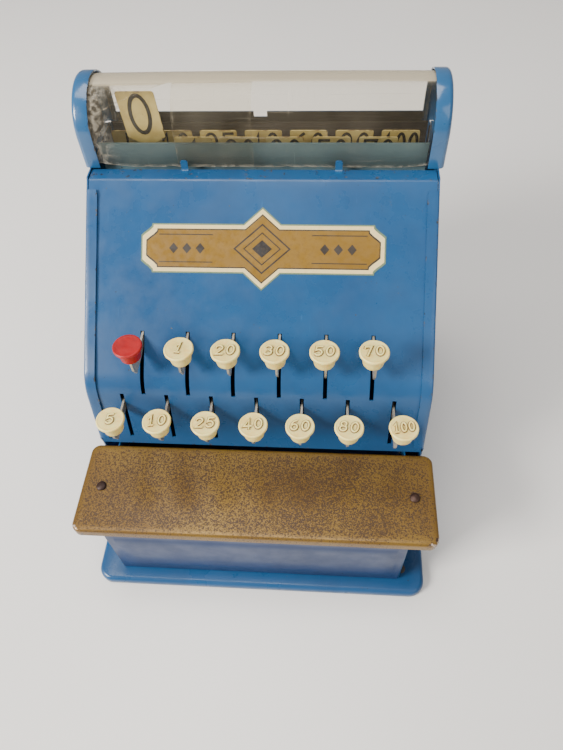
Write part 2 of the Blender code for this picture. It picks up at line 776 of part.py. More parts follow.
def shaft_bore():
    bm = bmesh.new()
    radius = SHAFT_RADIUS + HOLE_CLEARANCE
    add_cylinder(bm, radius, (-HALF, 0.0, 0.0), (HALF, 0.0, 0.0))
    return add_cutter("shaft_bore", bm, (0.0, *SHAFT))


def key(name, x, is_upper, bore):
    """One key: a flat lever on the shaft, and the cap pushed on its stem."""
    side = LEVER / 2
    outline = lever_outline(is_upper)
    lever = add_part(f"key_lever_{name}", plate_yz(outline, -side, side), "zinc", (x, *SHAFT))
    boolean(lever, bore)
    stem = stem_y(is_upper)
    top = lever_top(is_upper) + CAP_ABOVE_LEVER
    foot = top - CAP_DISC - CAP_COLLAR
    under = foot + CAP_COLLAR
    profile = [
        (0.0, top - CAP_DISH),
        (CAP_RADIUS - CAP_RIM - CAP_ROUND, top - CAP_DISH),
        (CAP_RADIUS - CAP_RIM, top),
        (CAP_RADIUS - CAP_ROUND, top),
        (CAP_RADIUS, top - CAP_ROUND),
        (CAP_RADIUS, under + CAP_ROUND),
        (CAP_RADIUS - CAP_ROUND, under),
        (CAP_COLLAR_TOP, under),
        (CAP_COLLAR_FOOT, foot),
        (0.0, foot),
    ]
    local = [(radius, z - SHAFT[1]) for radius, z in profile]
    place = (0.0, stem - SHAFT[0], 0.0)
    cap = turned(f"key_cap_{name}", local, place, "red" if name == "0" else "cream", 20)
    cap.parent = lever
    wide = LEVER / 2 + GAP
    long = STEM_WIDTH / 2 + GAP
    socket = box((-wide, -long, foot - CAP_SOCKET), (wide, long, foot + CAP_SOCKET))
    boolean(cap, add_cutter(f"cap_socket_{name}", socket, (x, stem, 0.0)))
    smooth(cap)


def flag(name, x, is_upper):
    """One flag: a numbered plate on a stem, with a foot over its lever's nose."""
    half = (KEY_PITCH - FLAG_GAP) / 2
    side = FLAG_STEM / 2
    top = flag_top(is_upper)
    foot = SHAFT[1] + nose_place(is_upper)[1] + NOSE_RADIUS + GAP
    outline = [
        (-side, foot),
        (side, foot),
        (side, top - FLAG_HEIGHT),
        (half, top - FLAG_HEIGHT + (half - side) / 2),
        (half, top - FLAG_CORNER),
        (half - FLAG_CORNER, top),
        (FLAG_CORNER - half, top),
        (-half, top - FLAG_CORNER),
        (-half, top - FLAG_HEIGHT + (half - side) / 2),
        (-side, top - FLAG_HEIGHT),
    ]
    bm = bmesh.new()
    verts = [bm.verts.new((px, 0.0, z)) for px, z in outline]
    plate = bm.faces.new(verts)
    turned_foot = bmesh.ops.extrude_edge_only(bm, edges=[bm.edges.get(verts[:2])])
    moved = [v for v in turned_foot["geom"] if isinstance(v, bmesh.types.BMVert)]
    bmesh.ops.translate(bm, vec=(0.0, -FLAG_FOOT, 0.0), verts=moved)
    bmesh.ops.recalc_face_normals(bm, faces=bm.faces)
    if plate.normal.y < 0:
        bmesh.ops.reverse_faces(bm, faces=bm.faces)
    lift = flag_rise() if name == "0" else 0.0
    part = add_part(f"flag_{name}", bm, "card", (x, flag_y(is_upper), lift))
    solidify(part, FLAG, -1.0)


def latch_place():
    """The latch bar's axis, in Y and Z."""
    front = flag_y(False) + GUIDE_MARGIN + LATCH_GAP
    return front + LATCH_LEAN, CREST_Z - GUIDE_Z + LATCH_RISE


def latch_bar():
    """Bar across the back of the flags, which holds a raised flag until the next key."""
    path = [(-LATCH_LEAN, -LATCH_DROP), (-LATCH_LEAN, -LATCH_HEAD), (0.0, 0.0)]
    end = PANEL_HALF - SLIDE_GAP
    bar = add_part("latch_bar", sheet_yz(path, -end, end), "zinc", (0.0, *latch_place()))
    solidify(bar, SHEET, -1.0)


def drawer():
    """Drawer: a tray with a front that closes the channel under the shelf."""
    low, half = TRAY_FLOOR, CHANNEL_HALF - SHEET - SLIDE_GAP
    tray = box((-half, DRAWER_FRONT + SHEET / 2, low), (half, DRAWER_BACK, TRAY_TOP))
    part = add_part("drawer", tray, "blue")
    face = box(
        (-half, DRAWER_FRONT, low), (half, DRAWER_FRONT + SHEET, SHELF_TOP - SHELF_LIP - GAP)
    )
    boolean(part, add_cutter("drawer_face", face), "UNION")
    room = box(
        (SHEET - half, DRAWER_FRONT + SHEET, low + SHEET),
        (half - SHEET, DRAWER_BACK - SHEET, SHELF_TOP),
    )
    boolean(part, add_cutter("drawer_room", room))


def drawer_spring():
    """Coil spring that pushes the drawer out, between the drawer and the channel's back."""
    front = DRAWER_BACK + GAP + SPRING_WIRE
    back = CHANNEL_BACK - SHEET - GAP - SPRING_WIRE
    count = SPRING_TURNS * SPRING_STEPS
    curve = bpy.data.curves.new("drawer_spring", "CURVE")
    curve.dimensions = "3D"
    spline = curve.splines.new("POLY")
    spline.points.add(count)
    for k, point in enumerate(spline.points):
        turn = 2 * math.pi * k / SPRING_STEPS
        across = SPRING_RADIUS * math.cos(turn)
        up = SPRING_RADIUS * math.sin(turn)
        point.co = (across, front + (back - front) * k / count, up, 1.0)
    curve.bevel_depth = SPRING_WIRE
    curve.bevel_resolution = 1
    curve.use_fill_caps = True
    curve.materials.append(make_material("drawer_spring", "zinc"))
    spring = bpy.data.objects.new("drawer_spring", curve)
    spring.location = (SPRING_X, 0.0, (TRAY_FLOOR + TRAY_TOP) / 2)
    PARTS.objects.link(spring)


def catch_pivot():
    """The catch's pivot, in Y and Z."""
    return DRAWER_BACK + CATCH_REACH, TRAY_TOP + CATCH_RISE


def drawer_catch():
    """Hooked catch over the drawer's back, drawn released."""
    tooth = -SHEET - CATCH_GAP - CATCH_REACH
    clear = CATCH_CLEAR - CATCH_RISE
    outline = arc((0.0, 0.0), CATCH_HUB, 80, -110, 6)
    outline += [
        (tooth, clear + CATCH_TOOTH),
        (tooth, clear),
        (tooth - CATCH_TOOTH, clear + CATCH_TOOTH / 3),
        (tooth - CATCH_TOOTH, clear + CATCH_TOOTH / 3 + CATCH_ARM),
    ]
    bm = plate_yz(outline, -CATCH_SHEET / 2, CATCH_SHEET / 2)
    catch = add_part("drawer_catch", bm, "zinc", (0.0, *catch_pivot()))
    bore = bmesh.new()
    add_cylinder(bore, CATCH_BORE, (-CATCH_SHEET, 0.0, 0.0), (CATCH_SHEET, 0.0, 0.0))
    boolean(catch, add_cutter("catch_bore", bore, (0.0, *catch_pivot())))


def bell_place():
    return BELL_X, DRAWER_BACK + BELL_GAP + BELL_RADIUS


def bell():
    """Small gong on a post behind the drawer."""
    top, foot = CHANNEL_FLOOR + BELL_TOP, CHANNEL_FLOOR + GAP
    turns = [math.pi / 2 * k / 6 for k in range(7)]
    outer = [(BELL_RADIUS * math.sin(t), top - BELL_DEPTH * (1 - math.cos(t))) for t in turns]
    thin = 1 - BELL_SHELL / BELL_RADIUS
    inner = [(r * thin, z - BELL_SHELL) for r, z in reversed(outer[1:])]
    inner[0] = (BELL_RADIUS * thin, top - BELL_DEPTH)
    stem = [(BELL_POST, inner[-1][1] - BELL_SHELL / 4), (BELL_POST, foot), (0.0, foot)]
    x, y = bell_place()
    gong = turned("bell", [*outer, *inner, *stem], (x, y, 0.0), "zinc", 24)
    smooth(gong)


def hammer_place():
    """Where the hammer's pin and its arm meet."""
    x, y = bell_place()
    left = x - BELL_RADIUS - BALL_RADIUS - BALL_GAP
    return left, y + HAMMER_REACH, CHANNEL_FLOOR + BELL_TOP - BELL_DEPTH + HAMMER_RISE


def bell_hammer():
    """Sprung hammer beside the bell, on an upright pin."""
    x, y, z = hammer_place()
    foot = (0.0, 0.0, CHANNEL_FLOOR + GAP - z)
    bm = bmesh.new()
    add_cylinder(bm, HAMMER_PIN, foot, (0.0, 0.0, HAMMER_PIN_TOP), 12)
    hammer = add_part("bell_hammer", bm, "zinc", (x, y, z))
    bm = bmesh.new()
    add_cylinder(bm, HAMMER_ARM, (0.0, -HAMMER_ARM / 2, 0.0), (0.0, -HAMMER_REACH, 0.0), 8)
    boolean(hammer, add_cutter("hammer_arm", bm, (x, y, z)), "UNION")
    bm = bmesh.new()
    bmesh.ops.create_uvsphere(bm, u_segments=12, v_segments=8, radius=BALL_RADIUS)
    boolean(hammer, add_cutter("hammer_ball", bm, (x, y - HAMMER_REACH, z)), "UNION")


def build():
    base_plate()
    holes = rivet_holes()
    drawer_channel(holes)
    shelf(holes)
    shelf_rivets()
    front_panel()
    side_panel("side_panel_left", -1)
    side_panel("side_panel_right", 1)
    rear_panel()
    cheek("cheek_left", -1)
    cheek("cheek_right", 1)
    window()
    front_guard()
    flag_guide()
    key_shaft()
    bore = shaft_bore()
    for name, x, is_upper in key_places():
        key(name, x, is_upper, bore)
        flag(name, x, is_upper)
    latch_bar()
    drawer()
    drawer_spring()
    drawer_catch()
    bell()
    bell_hammer()


clear_scene()
PARTS = new_collection("toy_cash_register")
CUTTERS = new_collection("cutters")
build()
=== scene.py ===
"""Looks for the toy cash register: enamelled tinplate, moulded keys, printed flags, celluloid.

x goes across, y to the back and z up. Lengths are in metres: 2 * MM is two millimetres.
"""

import math
import random

import bmesh
import bpy
from mathutils import Matrix, Vector, noise
from mathutils.bvhtree import BVHTree


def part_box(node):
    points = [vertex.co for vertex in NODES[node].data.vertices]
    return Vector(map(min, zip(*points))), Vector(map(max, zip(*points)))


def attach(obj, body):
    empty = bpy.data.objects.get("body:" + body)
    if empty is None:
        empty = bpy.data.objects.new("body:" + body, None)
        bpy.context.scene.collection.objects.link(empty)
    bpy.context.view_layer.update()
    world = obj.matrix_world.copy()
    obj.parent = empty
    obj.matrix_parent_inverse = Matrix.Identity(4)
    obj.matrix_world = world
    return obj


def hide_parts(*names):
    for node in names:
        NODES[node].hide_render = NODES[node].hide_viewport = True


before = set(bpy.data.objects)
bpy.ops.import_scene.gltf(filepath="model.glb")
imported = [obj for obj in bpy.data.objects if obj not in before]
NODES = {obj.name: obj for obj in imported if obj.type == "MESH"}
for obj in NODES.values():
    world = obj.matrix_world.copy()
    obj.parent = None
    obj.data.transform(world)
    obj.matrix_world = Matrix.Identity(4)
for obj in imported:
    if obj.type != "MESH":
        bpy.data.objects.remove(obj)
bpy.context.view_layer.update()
MM = 0.001
SHEET = 0.7 * MM


# ---------------- materials
def srgb(red, green, blue):
    """Linear colour of an sRGB one, given from 0 to 255."""
    return tuple(((c / 255) / 12.92 if c < 11 else ((c / 255 + 0.055) / 1.055) ** 2.4)
                 for c in (red, green, blue)) + (1,)


def shade(colour, factor, more=0):
    return [min(255, c * factor + more) for c in colour]


class Nodes:
    """A material's node tree, with short calls for the nodes that the finishes share."""

    def __init__(self, name):
        self.material = bpy.data.materials.new(name)
        self.material.use_nodes = True
        self.tree = self.material.node_tree
        self.shader = self.tree.nodes["Principled BSDF"]
        self.output = self.tree.nodes["Material Output"]
        self.place = self.add("ShaderNodeTexCoord").outputs["Object"]

    def add(self, kind, **settings):
        node = self.tree.nodes.new(kind)
        for key, value in settings.items():
            setattr(node, key, value)
        return node

    def link(self, source, target):
        """Links a socket, or sets a constant."""
        if hasattr(source, "is_output"):
            self.tree.links.new(source, target)
        else:
            target.default_value = source

    def fill(self, node, **values):
        for key, value in values.items():
            self.link(value, node.inputs[key.replace("_", " ")])
        return node

    def noise(self, scale, detail=3, rough=0.5, vector=None, distortion=0):
        node = self.fill(self.add("ShaderNodeTexNoise"), Vector=vector or self.place, Scale=scale,
                         Detail=detail, Roughness=rough, Distortion=distortion)
        return node.outputs["Fac"]

    def streaks(self, scale, turn=(0, 0, 0), detail=2, distortion=0):
        """Noise stretched along one axis."""
        node = self.fill(self.add("ShaderNodeMapping"), Vector=self.place, Scale=scale, Rotation=turn)
        return self.noise(1, detail, 0.6, node.outputs["Vector"], distortion)

    def cells(self, scale):
        node = self.add("ShaderNodeTexVoronoi", feature="F1")
        return self.fill(node, Vector=self.place, Scale=scale).outputs["Distance"]

    def ramp(self, value, low, high, start=0, end=1):
        """The value between low and high, spread from start to end."""
        node = self.add("ShaderNodeMapRange", interpolation_type="SMOOTHSTEP")
        self.fill(node, Value=value, From_Min=low, From_Max=high, To_Min=start, To_Max=end)
        return node.outputs["Result"]

    def cloud(self, scale, detail, rough, low, high, start=0, end=1):
        """Noise between low and high, spread from start to end."""
        return self.ramp(self.noise(scale, detail, rough), low, high, start, end)

    def math(self, operation, a, b=0):
        node = self.add("ShaderNodeMath", operation=operation)
        self.link(a, node.inputs[0])
        self.link(b, node.inputs[1])
        return node.outputs["Value"]

    def times(self, a, b):
        return self.math("MULTIPLY", a, b)

    def plus(self, a, b):
        return self.math("ADD", a, b)

    def larger(self, a, b):
        return self.math("MAXIMUM", a, b)

    def mix(self, factor, *colours):
        """A mix of two colours, each a socket or (red, green, blue) from 0 to 255."""
        node = self.add("ShaderNodeMix", data_type="RGBA")
        a, b = [c if hasattr(c, "is_output") else srgb(*c) for c in colours]
        return self.fill(node, Factor=factor, A=a, B=b).outputs["Result"]

    def attribute(self, name):
        return self.add("ShaderNodeAttribute", attribute_name=name).outputs["Fac"]

    def spots(self, scale, start, full, area, low, high, end=1):
        """Round spots, only where noise of the scale "area" is high."""
        spots = self.ramp(self.cells(scale), start, full, 0, end)
        return self.times(spots, self.cloud(area, 2, 0.5, low, high))

    def worn(self, cloud, low, high, end=1):
        """The mesh's attribute "wear", broken up by a cloud."""
        return self.ramp(self.plus(self.attribute("wear"), cloud), low, high, 0, end)

    def bump(self, height, strength, distance):
        node = self.fill(self.add("ShaderNodeBump"), Strength=strength, Distance=distance, Height=height)
        self.link(node.outputs["Normal"], self.shader.inputs["Normal"])

    def finish(self, colour, roughness, metallic=0, **others):
        self.fill(self.shader, Base_Color=colour, Roughness=roughness, Metallic=metallic, **others)
        return self.material


def enamel(name, light, dark, gloss=0.3, coat=0.12):
    """Sprayed enamel on tinplate: cloudy colour, specks, hairline scratches, worn edges."""
    n = Nodes(name)
    colour = n.mix(n.cloud(14, 4, 0.6, 0.35, 0.68), light, dark)
    colour = n.mix(n.cloud(90, 4, 0.7, 0.4, 0.75, 0, 0.11), colour, shade(dark, 0.62))
    hair = n.streaks((900, 60, 45), (0.2, 0.1, 0.35), distortion=0.4)
    colour = n.mix(n.ramp(hair, 0.71, 0.78, 0, 0.28), colour, shade(light, 1.25, 22))
    specks = n.larger(n.spots(120, 0.055, 0.035, 26, 0.5, 0.56),
                      n.spots(420, 0.1, 0.06, 40, 0.54, 0.62))
    edge = n.worn(n.cloud(240, 4, 0.65, 0.3, 0.72, -0.42, 0.42), 0.72, 0.86)
    marks = n.larger(specks, edge)
    bare = n.mix(n.cloud(600, 2, 0.5, 0.4, 0.6), (38, 34, 32), (84, 80, 78))
    rough = n.cloud(55, 4, 0.6, 0.3, 0.7, gloss - 0.07, gloss + 0.12)
    rough = n.larger(rough, n.ramp(marks, 0, 1, 0, 0.55))
    skin = n.plus(n.noise(520, 2), n.noise(60, 2))
    n.bump(n.math("SUBTRACT", skin, marks), 0.35, 0.06 * MM)
    return n.finish(n.mix(marks, colour, bare), rough,
                    Coat_Weight=coat, Coat_Roughness=0.1, Specular_IOR_Level=0.4)


def hammered_bronze(name):
    """Bronze lacquer with a dense brown speckle, lighter and smoother towards its edges."""
    n = Nodes(name)
    patch = n.cloud(18, 3, 0.6, 0.32, 0.7)
    across = n.add("ShaderNodeSeparateXYZ")
    n.link(n.place, across.inputs["Vector"])
    ends = n.ramp(n.math("ABSOLUTE", across.outputs["X"]), 0.058, 0.088, 0, 0.055)
    cut = n.plus(n.noise(1450, 3, 0.6, distortion=0.6), n.ramp(patch, 0, 1, 0, 0.03))
    cut = n.math("SUBTRACT", cut, n.times(ends, n.noise(45, 2)))
    cut = n.math("SUBTRACT", cut, n.times(n.attribute("edge"), 0.08))
    speckle = n.ramp(cut, 0.475, 0.55)
    bronze = n.mix(patch, (130, 100, 36), (112, 82, 28))
    stain = n.spots(75, 0.085, 0.03, 33, 0.48, 0.58)
    colour = n.mix(stain, n.mix(speckle, bronze, (66, 43, 15)), (58, 38, 24))
    bare = n.mix(n.cloud(500, 2, 0.5, 0.42, 0.58), (60, 40, 30), (196, 176, 160))
    colour = n.mix(n.worn(n.cloud(300, 4, 0.65, 0.3, 0.7, -0.4, 0.4), 0.74, 0.86), colour, bare)
    n.bump(n.math("SUBTRACT", n.noise(700, 3, 0.6), n.times(speckle, 0.7)), 0.55, 0.12 * MM)
    metal = n.ramp(n.larger(speckle, stain), 0, 1, 0.4, 0.15)
    rough = n.ramp(speckle, 0, 1, 0.34, 0.52)
    return n.finish(colour, rough, metal, Coat_Weight=0.15, Coat_Roughness=0.2)


def moulded_plastic(name, light, dark, tint, strength=1):
    """Aged moulded plastic: yellowed clouds, and brown where the grime layer is high. That brown is partly
    grime and partly painted shade in the hollows and round the raised numbers.
    """
    n = Nodes(name)
    colour = n.mix(n.cloud(210, 3, 0.6, 0.35, 0.68), light, dark)
    # Brown tint: grime, and painted shade in the hollows, under the rim and round the numbers.
    grime_and_shade = n.times(n.attribute("grime_and_shade"), n.cloud(700, 3, 0.6, 0.25, 0.65, 0.75, 1))
    colour = n.mix(n.times(grime_and_shade, strength), colour, tint)
    dots = n.spots(900, 0.12, 0.05, 300, 0.52, 0.62, 0.45)
    n.bump(n.noise(900, 3, 0.6), 0.3, 0.05 * MM)
    return n.finish(n.mix(dots, colour, shade(tint, 0.7)), n.cloud(400, 3, 0.5, 0.3, 0.7, 0.34, 0.5),
                    Subsurface_Weight=0.12, Subsurface_Scale=2 * MM)


def bare_metal(name, light=(206, 200, 186), dark=(160, 152, 138), rust=(124, 82, 46), amount=0.5):
    """Plated strip steel: brushed streaks, dull clouds and rust spots."""
    n = Nodes(name)
    plain = n.mix(n.cloud(60, 4, 0.65, 0.35, 0.65), light, dark)
    brushed = n.ramp(n.streaks((120, 120, 2600), detail=3), 0.35, 0.65, 0, 0.35)
    spots = n.cloud(310, 5, 0.7, 0.6, 0.7, 0, amount)
    colour = n.mix(spots, n.mix(brushed, plain, shade(dark, 0.75)), rust)
    rough = n.ramp(n.plus(n.noise(180), spots), 0.3, 0.9, 0.34, 0.62)
    n.bump(n.noise(800, 3, 0.6), 0.3, 0.04 * MM)
    return n.finish(colour, rough, n.ramp(spots, 0, 1, 0.5, 0.1))


def dark_tin(name):
    """Dark brown-grey tinplate, with pale rubbed streaks."""
    n = Nodes(name)
    colour = n.mix(n.cloud(30, 4, 0.7, 0.35, 0.7), (96, 88, 80), (70, 62, 56))
    rubbed = n.ramp(n.streaks((25, 25, 900), detail=3), 0.52, 0.72, 0, 0.4)
    n.bump(n.noise(420, 3, 0.6), 0.3, 0.05 * MM)
    return n.finish(n.mix(rubbed, colour, (128, 120, 108)),
                    n.cloud(90, 3, 0.5, 0.3, 0.7, 0.42, 0.62), 0.45)


def printed_card(name):
    """Flag face: cream stoving enamel, browned at its edges, with rubbed spots."""
    n = Nodes(name)
    colour = n.mix(n.cloud(70, 4, 0.65, 0.35, 0.68), (202, 184, 118), (178, 156, 90))
    edge = n.worn(n.cloud(330, 4, 0.6, 0.3, 0.7, -0.4, 0.4), 0.62, 0.86, 0.85)
    colour = n.mix(edge, colour, (112, 84, 44))
    colour = n.mix(n.spots(380, 0.1, 0.05, 120, 0.55, 0.62), colour, (110, 82, 46))
    n.bump(n.noise(600, 3, 0.6), 0.25, 0.04 * MM)
    return n.finish(colour, n.cloud(240, 3, 0.5, 0.3, 0.7, 0.42, 0.6))


def print_ink(name, colour, faded, gloss=0.35):
    """Printed colour with faint wear."""
    n = Nodes(name)
    wear = n.larger(n.cloud(650, 4, 0.65, 0.42, 0.72, 0, 0.55),
                    n.cloud(60, 3, 0.6, 0.35, 0.7, 0, 0.35))
    n.bump(n.noise(900, 2), 0.2, 0.03 * MM)
    return n.finish(n.mix(wear, colour, faded),
                    n.cloud(300, 3, 0.5, 0.3, 0.7, gloss, gloss + 0.18))


def celluloid(name, body=0.012):
    """Thin yellowed film: mostly clear, with dust, hairline scratches and glossy skin."""
    n = Nodes(name)
    dust = n.cloud(26, 4, 0.65, 0.4, 0.75, 0, 0.025)
    across = n.ramp(n.streaks((22, 900, 900), (0, 0.05, 0.03)), 0.66, 0.74)
    along = n.ramp(n.streaks((1500, 60, 60), (0, 0, 0.4)), 0.7, 0.76)
    scratches = n.times(n.larger(across, along), 0.1)
    edge = n.times(n.attribute("wear"), n.cloud(420, 4, 0.7, 0.42, 0.62, 0.05, 0.7))
    haze = n.math("MINIMUM", n.plus(n.plus(dust, scratches), n.plus(edge, body)), 1)
    stain = n.times(n.attribute("stain"), n.cloud(180, 4, 0.7, 0.55, 0.72))
    n.bump(n.plus(n.noise(18, 2), n.times(n.noise(160, 2), 0.12)), 0.25, 0.6 * MM)
    n.finish(n.mix(stain, (222, 212, 190), (130, 78, 30)),
             n.cloud(120, 3, 0.5, 0.3, 0.7, 0.08, 0.22), IOR=1.49)
    clear = n.fill(n.add("ShaderNodeBsdfTransparent"), Color=(0.985, 0.976, 0.952, 1))
    glance = n.fill(n.add("ShaderNodeLayerWeight"), Blend=0.22)
    both = n.add("ShaderNodeMixShader")
    n.link(n.larger(haze, n.times(glance.outputs["Fresnel"], 0.85)), both.inputs["Fac"])
    n.link(clear.outputs["BSDF"], both.inputs[1])
    n.link(n.shader.outputs["BSDF"], both.inputs[2])
    n.link(both.outputs["Shader"], n.output.inputs["Surface"])
    return n.material


BLUE = enamel("blue_enamel", (32, 82, 128), (26, 72, 116))
BLUE_EDGE = enamel("blue_enamel_rims", (40, 92, 136), (32, 82, 126), gloss=0.2, coat=0.6)
# The drawer's enamel is darker than the body's blue as painted shade from the shelf above. It is used on the
# drawer's front and its tray.
SHADED_DRAWER_BLUE = enamel("drawer_enamel_painted_shade", (30, 54, 96), (25, 47, 86), gloss=0.36)
DULL_BLUE = enamel("inner_enamel", (118, 148, 156), (92, 122, 134), gloss=0.42)
BRONZE = hammered_bronze("hammered_bronze")
CREAM = moulded_plastic("cream_moulding", (255, 236, 150), (250, 220, 126), (92, 42, 10))
RED = moulded_plastic("red_moulding", (172, 3, 8), (152, 2, 6), (96, 4, 10), 0.5)
ZINC = bare_metal("plated_strip")
RIVET = bare_metal("bronzed_rivet", (74, 52, 42), (52, 36, 30), (92, 58, 40), 0.6)
DARK = dark_tin("inner_tinplate")
CARD = printed_card("flag_enamel")
INK = print_ink("flag_ink", (26, 24, 20), (64, 56, 42))
PLAQUE_GREEN = print_ink("plaque_outline", (96, 118, 92), (124, 138, 104))
PLAQUE_CREAM = print_ink("plaque_border", (240, 218, 158), (228, 200, 136), 0.3)
PLAQUE_GOLD = print_ink("plaque_field", (134, 101, 30), (114, 82, 22), 0.28)
PLAQUE_DARK = print_ink("plaque_line", (40, 36, 34), (78, 66, 50), 0.3)
FILM = celluloid("film")
FILM_PATCH = celluloid("film_patch", 0.006)
# The dark tin on the plinth's tabs is painted shade: it stands for the dark slots that they come through.
SLOT_SHADE_TABS = dark_tin("slot_tab_painted_shade")


# ---------------- meshes
def finish_mesh(name, bm, materials, body, replaces=(), smooth=38):
    """Makes a piece of a bmesh, which rides on a body and takes the given materials."""
    bm.normal_update()
    mesh = bpy.data.meshes.new(name)
    bm.to_mesh(mesh)
    bm.free()
    for material in materials:
        mesh.materials.append(material)
    piece = bpy.data.objects.new(name, mesh)
    bpy.context.scene.collection.objects.link(piece)
    mesh.shade_smooth()
    mesh.set_sharp_from_angle(angle=math.radians(smooth))
    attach(piece, body)
    if replaces:
        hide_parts(*replaces)
    return piece


def layer(bm, name):
    return bm.verts.layers.float.get(name) or bm.verts.layers.float.new(name)


def new_sheet():
    """An empty mesh with the layers that enamel and bronze read, and its layer of wear."""
    bm = bmesh.new()
    wear = layer(bm, "wear")
    layer(bm, "edge")
    return bm, wear


def put(bm, place, wear, worn):
    """A new vertex with its value in a layer."""
    v = bm.verts.new(place)
    v[wear] = worn
    return v


def skin(bm, rows, closed=False, turned=False):
    """Faces between rows of vertices, which are rings if closed. Turned faces look the other way."""
    for a, b in zip(rows, rows[1:]):
        for k in range(len(a) if closed else len(a) - 1):
            j = (k + 1) % len(a)
            bm.faces.new((a[k], b[k], b[j], a[j]) if turned else (a[k], a[j], b[j], b[k]))


def face_outwards(bm, face, towards):
    """Makes the normals agree, with this face's normal on the side of a direction."""
    bmesh.ops.recalc_face_normals(bm, faces=bm.faces)
    bm.normal_update()
    if face.normal.dot(Vector(towards)) < 0:
        bmesh.ops.reverse_faces(bm, faces=bm.faces)


def solid_sheet(bm, thickness):
    """A closed body of an open sheet: a copy behind it and a wall along its border."""
    bm.normal_update()
    layers = layer(bm, "wear"), layer(bm, "edge")
    faces, twins = list(bm.faces), {}
    for v in list(bm.verts):
        normals = [f.normal for f in v.link_faces]
        mean = sum(normals, Vector()).normalized()
        even = max(0.5, min(mean.dot(n) for n in normals))
        twins[v] = bm.verts.new(v.co - mean * thickness / even)
    for v, twin in twins.items():
        for value in layers:
            twin[value] = v[value]
    borders = [(l.vert, l.link_loop_next.vert, f.material_index)
               for f in faces for l in f.loops if l.edge.is_boundary]
    for f in faces:
        back = bm.faces.new([twins[v] for v in reversed(f.verts)])
        back.material_index = f.material_index
    for a, b, index in borders:
        wall = bm.faces.new((b, a, twins[a], twins[b]))
        wall.material_index = index


def polar(degrees, radius=1):
    """A point on a circle round the origin."""
    turn = math.radians(degrees)
    return radius * math.cos(turn), radius * math.sin(turn)


def between(a, b, count):
    """Points from a to b, without b, in as many steps."""
    return [tuple(p + (q - p) * k / count for p, q in zip(a, b)) for k in range(count)]


def rounded(x_half, y_low, y_high, corner, steps=8):
    """Points round a rectangle with round corners, anticlockwise from above, and along its sides."""
    corner = max(corner, 0.05 * MM)
    points = []
    for x, y, turn in ((x_half - corner, y_high - corner, 0), (corner - x_half, y_high - corner, 90),
                       (corner - x_half, y_low + corner, 180), (x_half - corner, y_low + corner, 270)):
        for k in range(steps + 1):
            dx, dy = polar(turn + 90 * k / steps, corner)
            points.append((x + dx, y + dy))
    out = []
    for k, a in enumerate(points):
        side, step = divmod(k, steps + 1)
        count = (24, 16)[side % 2] if step == steps else 1
        out += between(a, points[(k + 1) % len(points)], count)
    return out


def rolled(edge, top):
    """A quarter round edge: how far in and how high, up to its top."""
    return [(edge * (1 - x), top - edge * (1 - y)) for x, y in map(polar, range(0, 91, 18))]


def pressing(bm, x, y_low, y_high, corner, levels):
    """A pan upside down with round corners. Levels are how far in and how high. Returns its rings."""
    rows = []
    for inset, z in levels:
        ring = rounded(x - inset, y_low + inset, y_high - inset, corner - inset)
        rows.append([bm.verts.new((px, py, z)) for px, py in ring])
    skin(bm, rows, closed=True)
    bm.faces.new(rows[-1])
    return rows


def lathe(bm, shape, at, steps):
    """A turned body of (radius, height) points that starts and ends on its axis."""
    rings = []
    for radius, z in shape:
        turns = [polar(360 * k / steps, radius) for k in range(steps)] if radius > 1e-9 else [(0, 0)]
        rings.append([bm.verts.new((at[0] + x, at[1] + y, at[2] + z)) for x, y in turns])
    for low, high in zip(rings, rings[1:]):
        for k in range(steps):
            j = (k + 1) % steps
            corners = [low[k % len(low)], low[j % len(low)], high[j % len(high)], high[k % len(high)]]
            bm.faces.new(list(dict.fromkeys(corners)))
    return rings


def wobble(p, scale, amount, seed=0):
    return amount * noise.noise(Vector(p) * scale + Vector((seed, seed * 1.7, seed * 0.3)))


def middle(node):
    low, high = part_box(node)
    return (low + high) / 2


# ---------------- body: the front panel's profile is read from the CAD
PANEL_TREE = BVHTree.FromObject(NODES["front_panel"], bpy.context.evaluated_depsgraph_get())
PANEL_LOW, PANEL_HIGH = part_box("front_panel")


def panel_hit(x, z):
    """Where the front panel's outer face is at a place across and a height, or None at a slot."""
    hit = PANEL_TREE.ray_cast(Vector((x, PANEL_LOW.y - 0.05, z)), Vector((0, 1, 0)))
    return None if hit[0] is None or hit[1].y > -0.05 else hit[0].y


def face_points(*heights):
    """Points (y, z) of the panel's face beside its left edge, at heights over its foot in mm."""
    x = PANEL_LOW.x + 2 * MM
    return [Vector((panel_hit(x, PANEL_LOW.z + h * MM), PANEL_LOW.z + h * MM)) for h in heights]


def at_height(line, z):
    a, b = line
    return a + (b - a) * (z - a.y) / (b.y - a.y)


def crossing(a, b):
    (p, q), (r, s) = a, b
    d, e = q - p, s - r
    t = ((r.x - p.x) * e.y - (r.y - p.y) * e.x) / (d.x * e.y - d.y * e.x)
    return p + d * t


def fillet(before, corner, after, radius, steps):
    a, b = (before - corner).normalized(), (after - corner).normalized()
    half = a.angle(b) / 2
    centre = corner + (a + b).normalized() * radius / math.sin(half)
    first = corner + a * radius / math.tan(half) - centre
    turn = first.angle_signed(corner + b * radius / math.tan(half) - centre)
    return [centre + Matrix.Rotation(-turn * k / steps, 2) @ first for k in range(steps + 1)]


STEEP = face_points(3, 15)
SLOPE = face_points(68, 92)
BEND = crossing(STEEP, SLOPE)
FOOT = at_height(STEEP, PANEL_LOW.z)
CREST_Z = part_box("side_panel_left")[1].z - SHEET
CREST = at_height(SLOPE, CREST_Z)
CREST_END = Vector((CREST.x + 7.9 * MM, CREST_Z))
BEND_RADIUS, CREST_RADIUS = 20 * MM, 2.6 * MM
PANEL_WAVE = 0.25 * MM


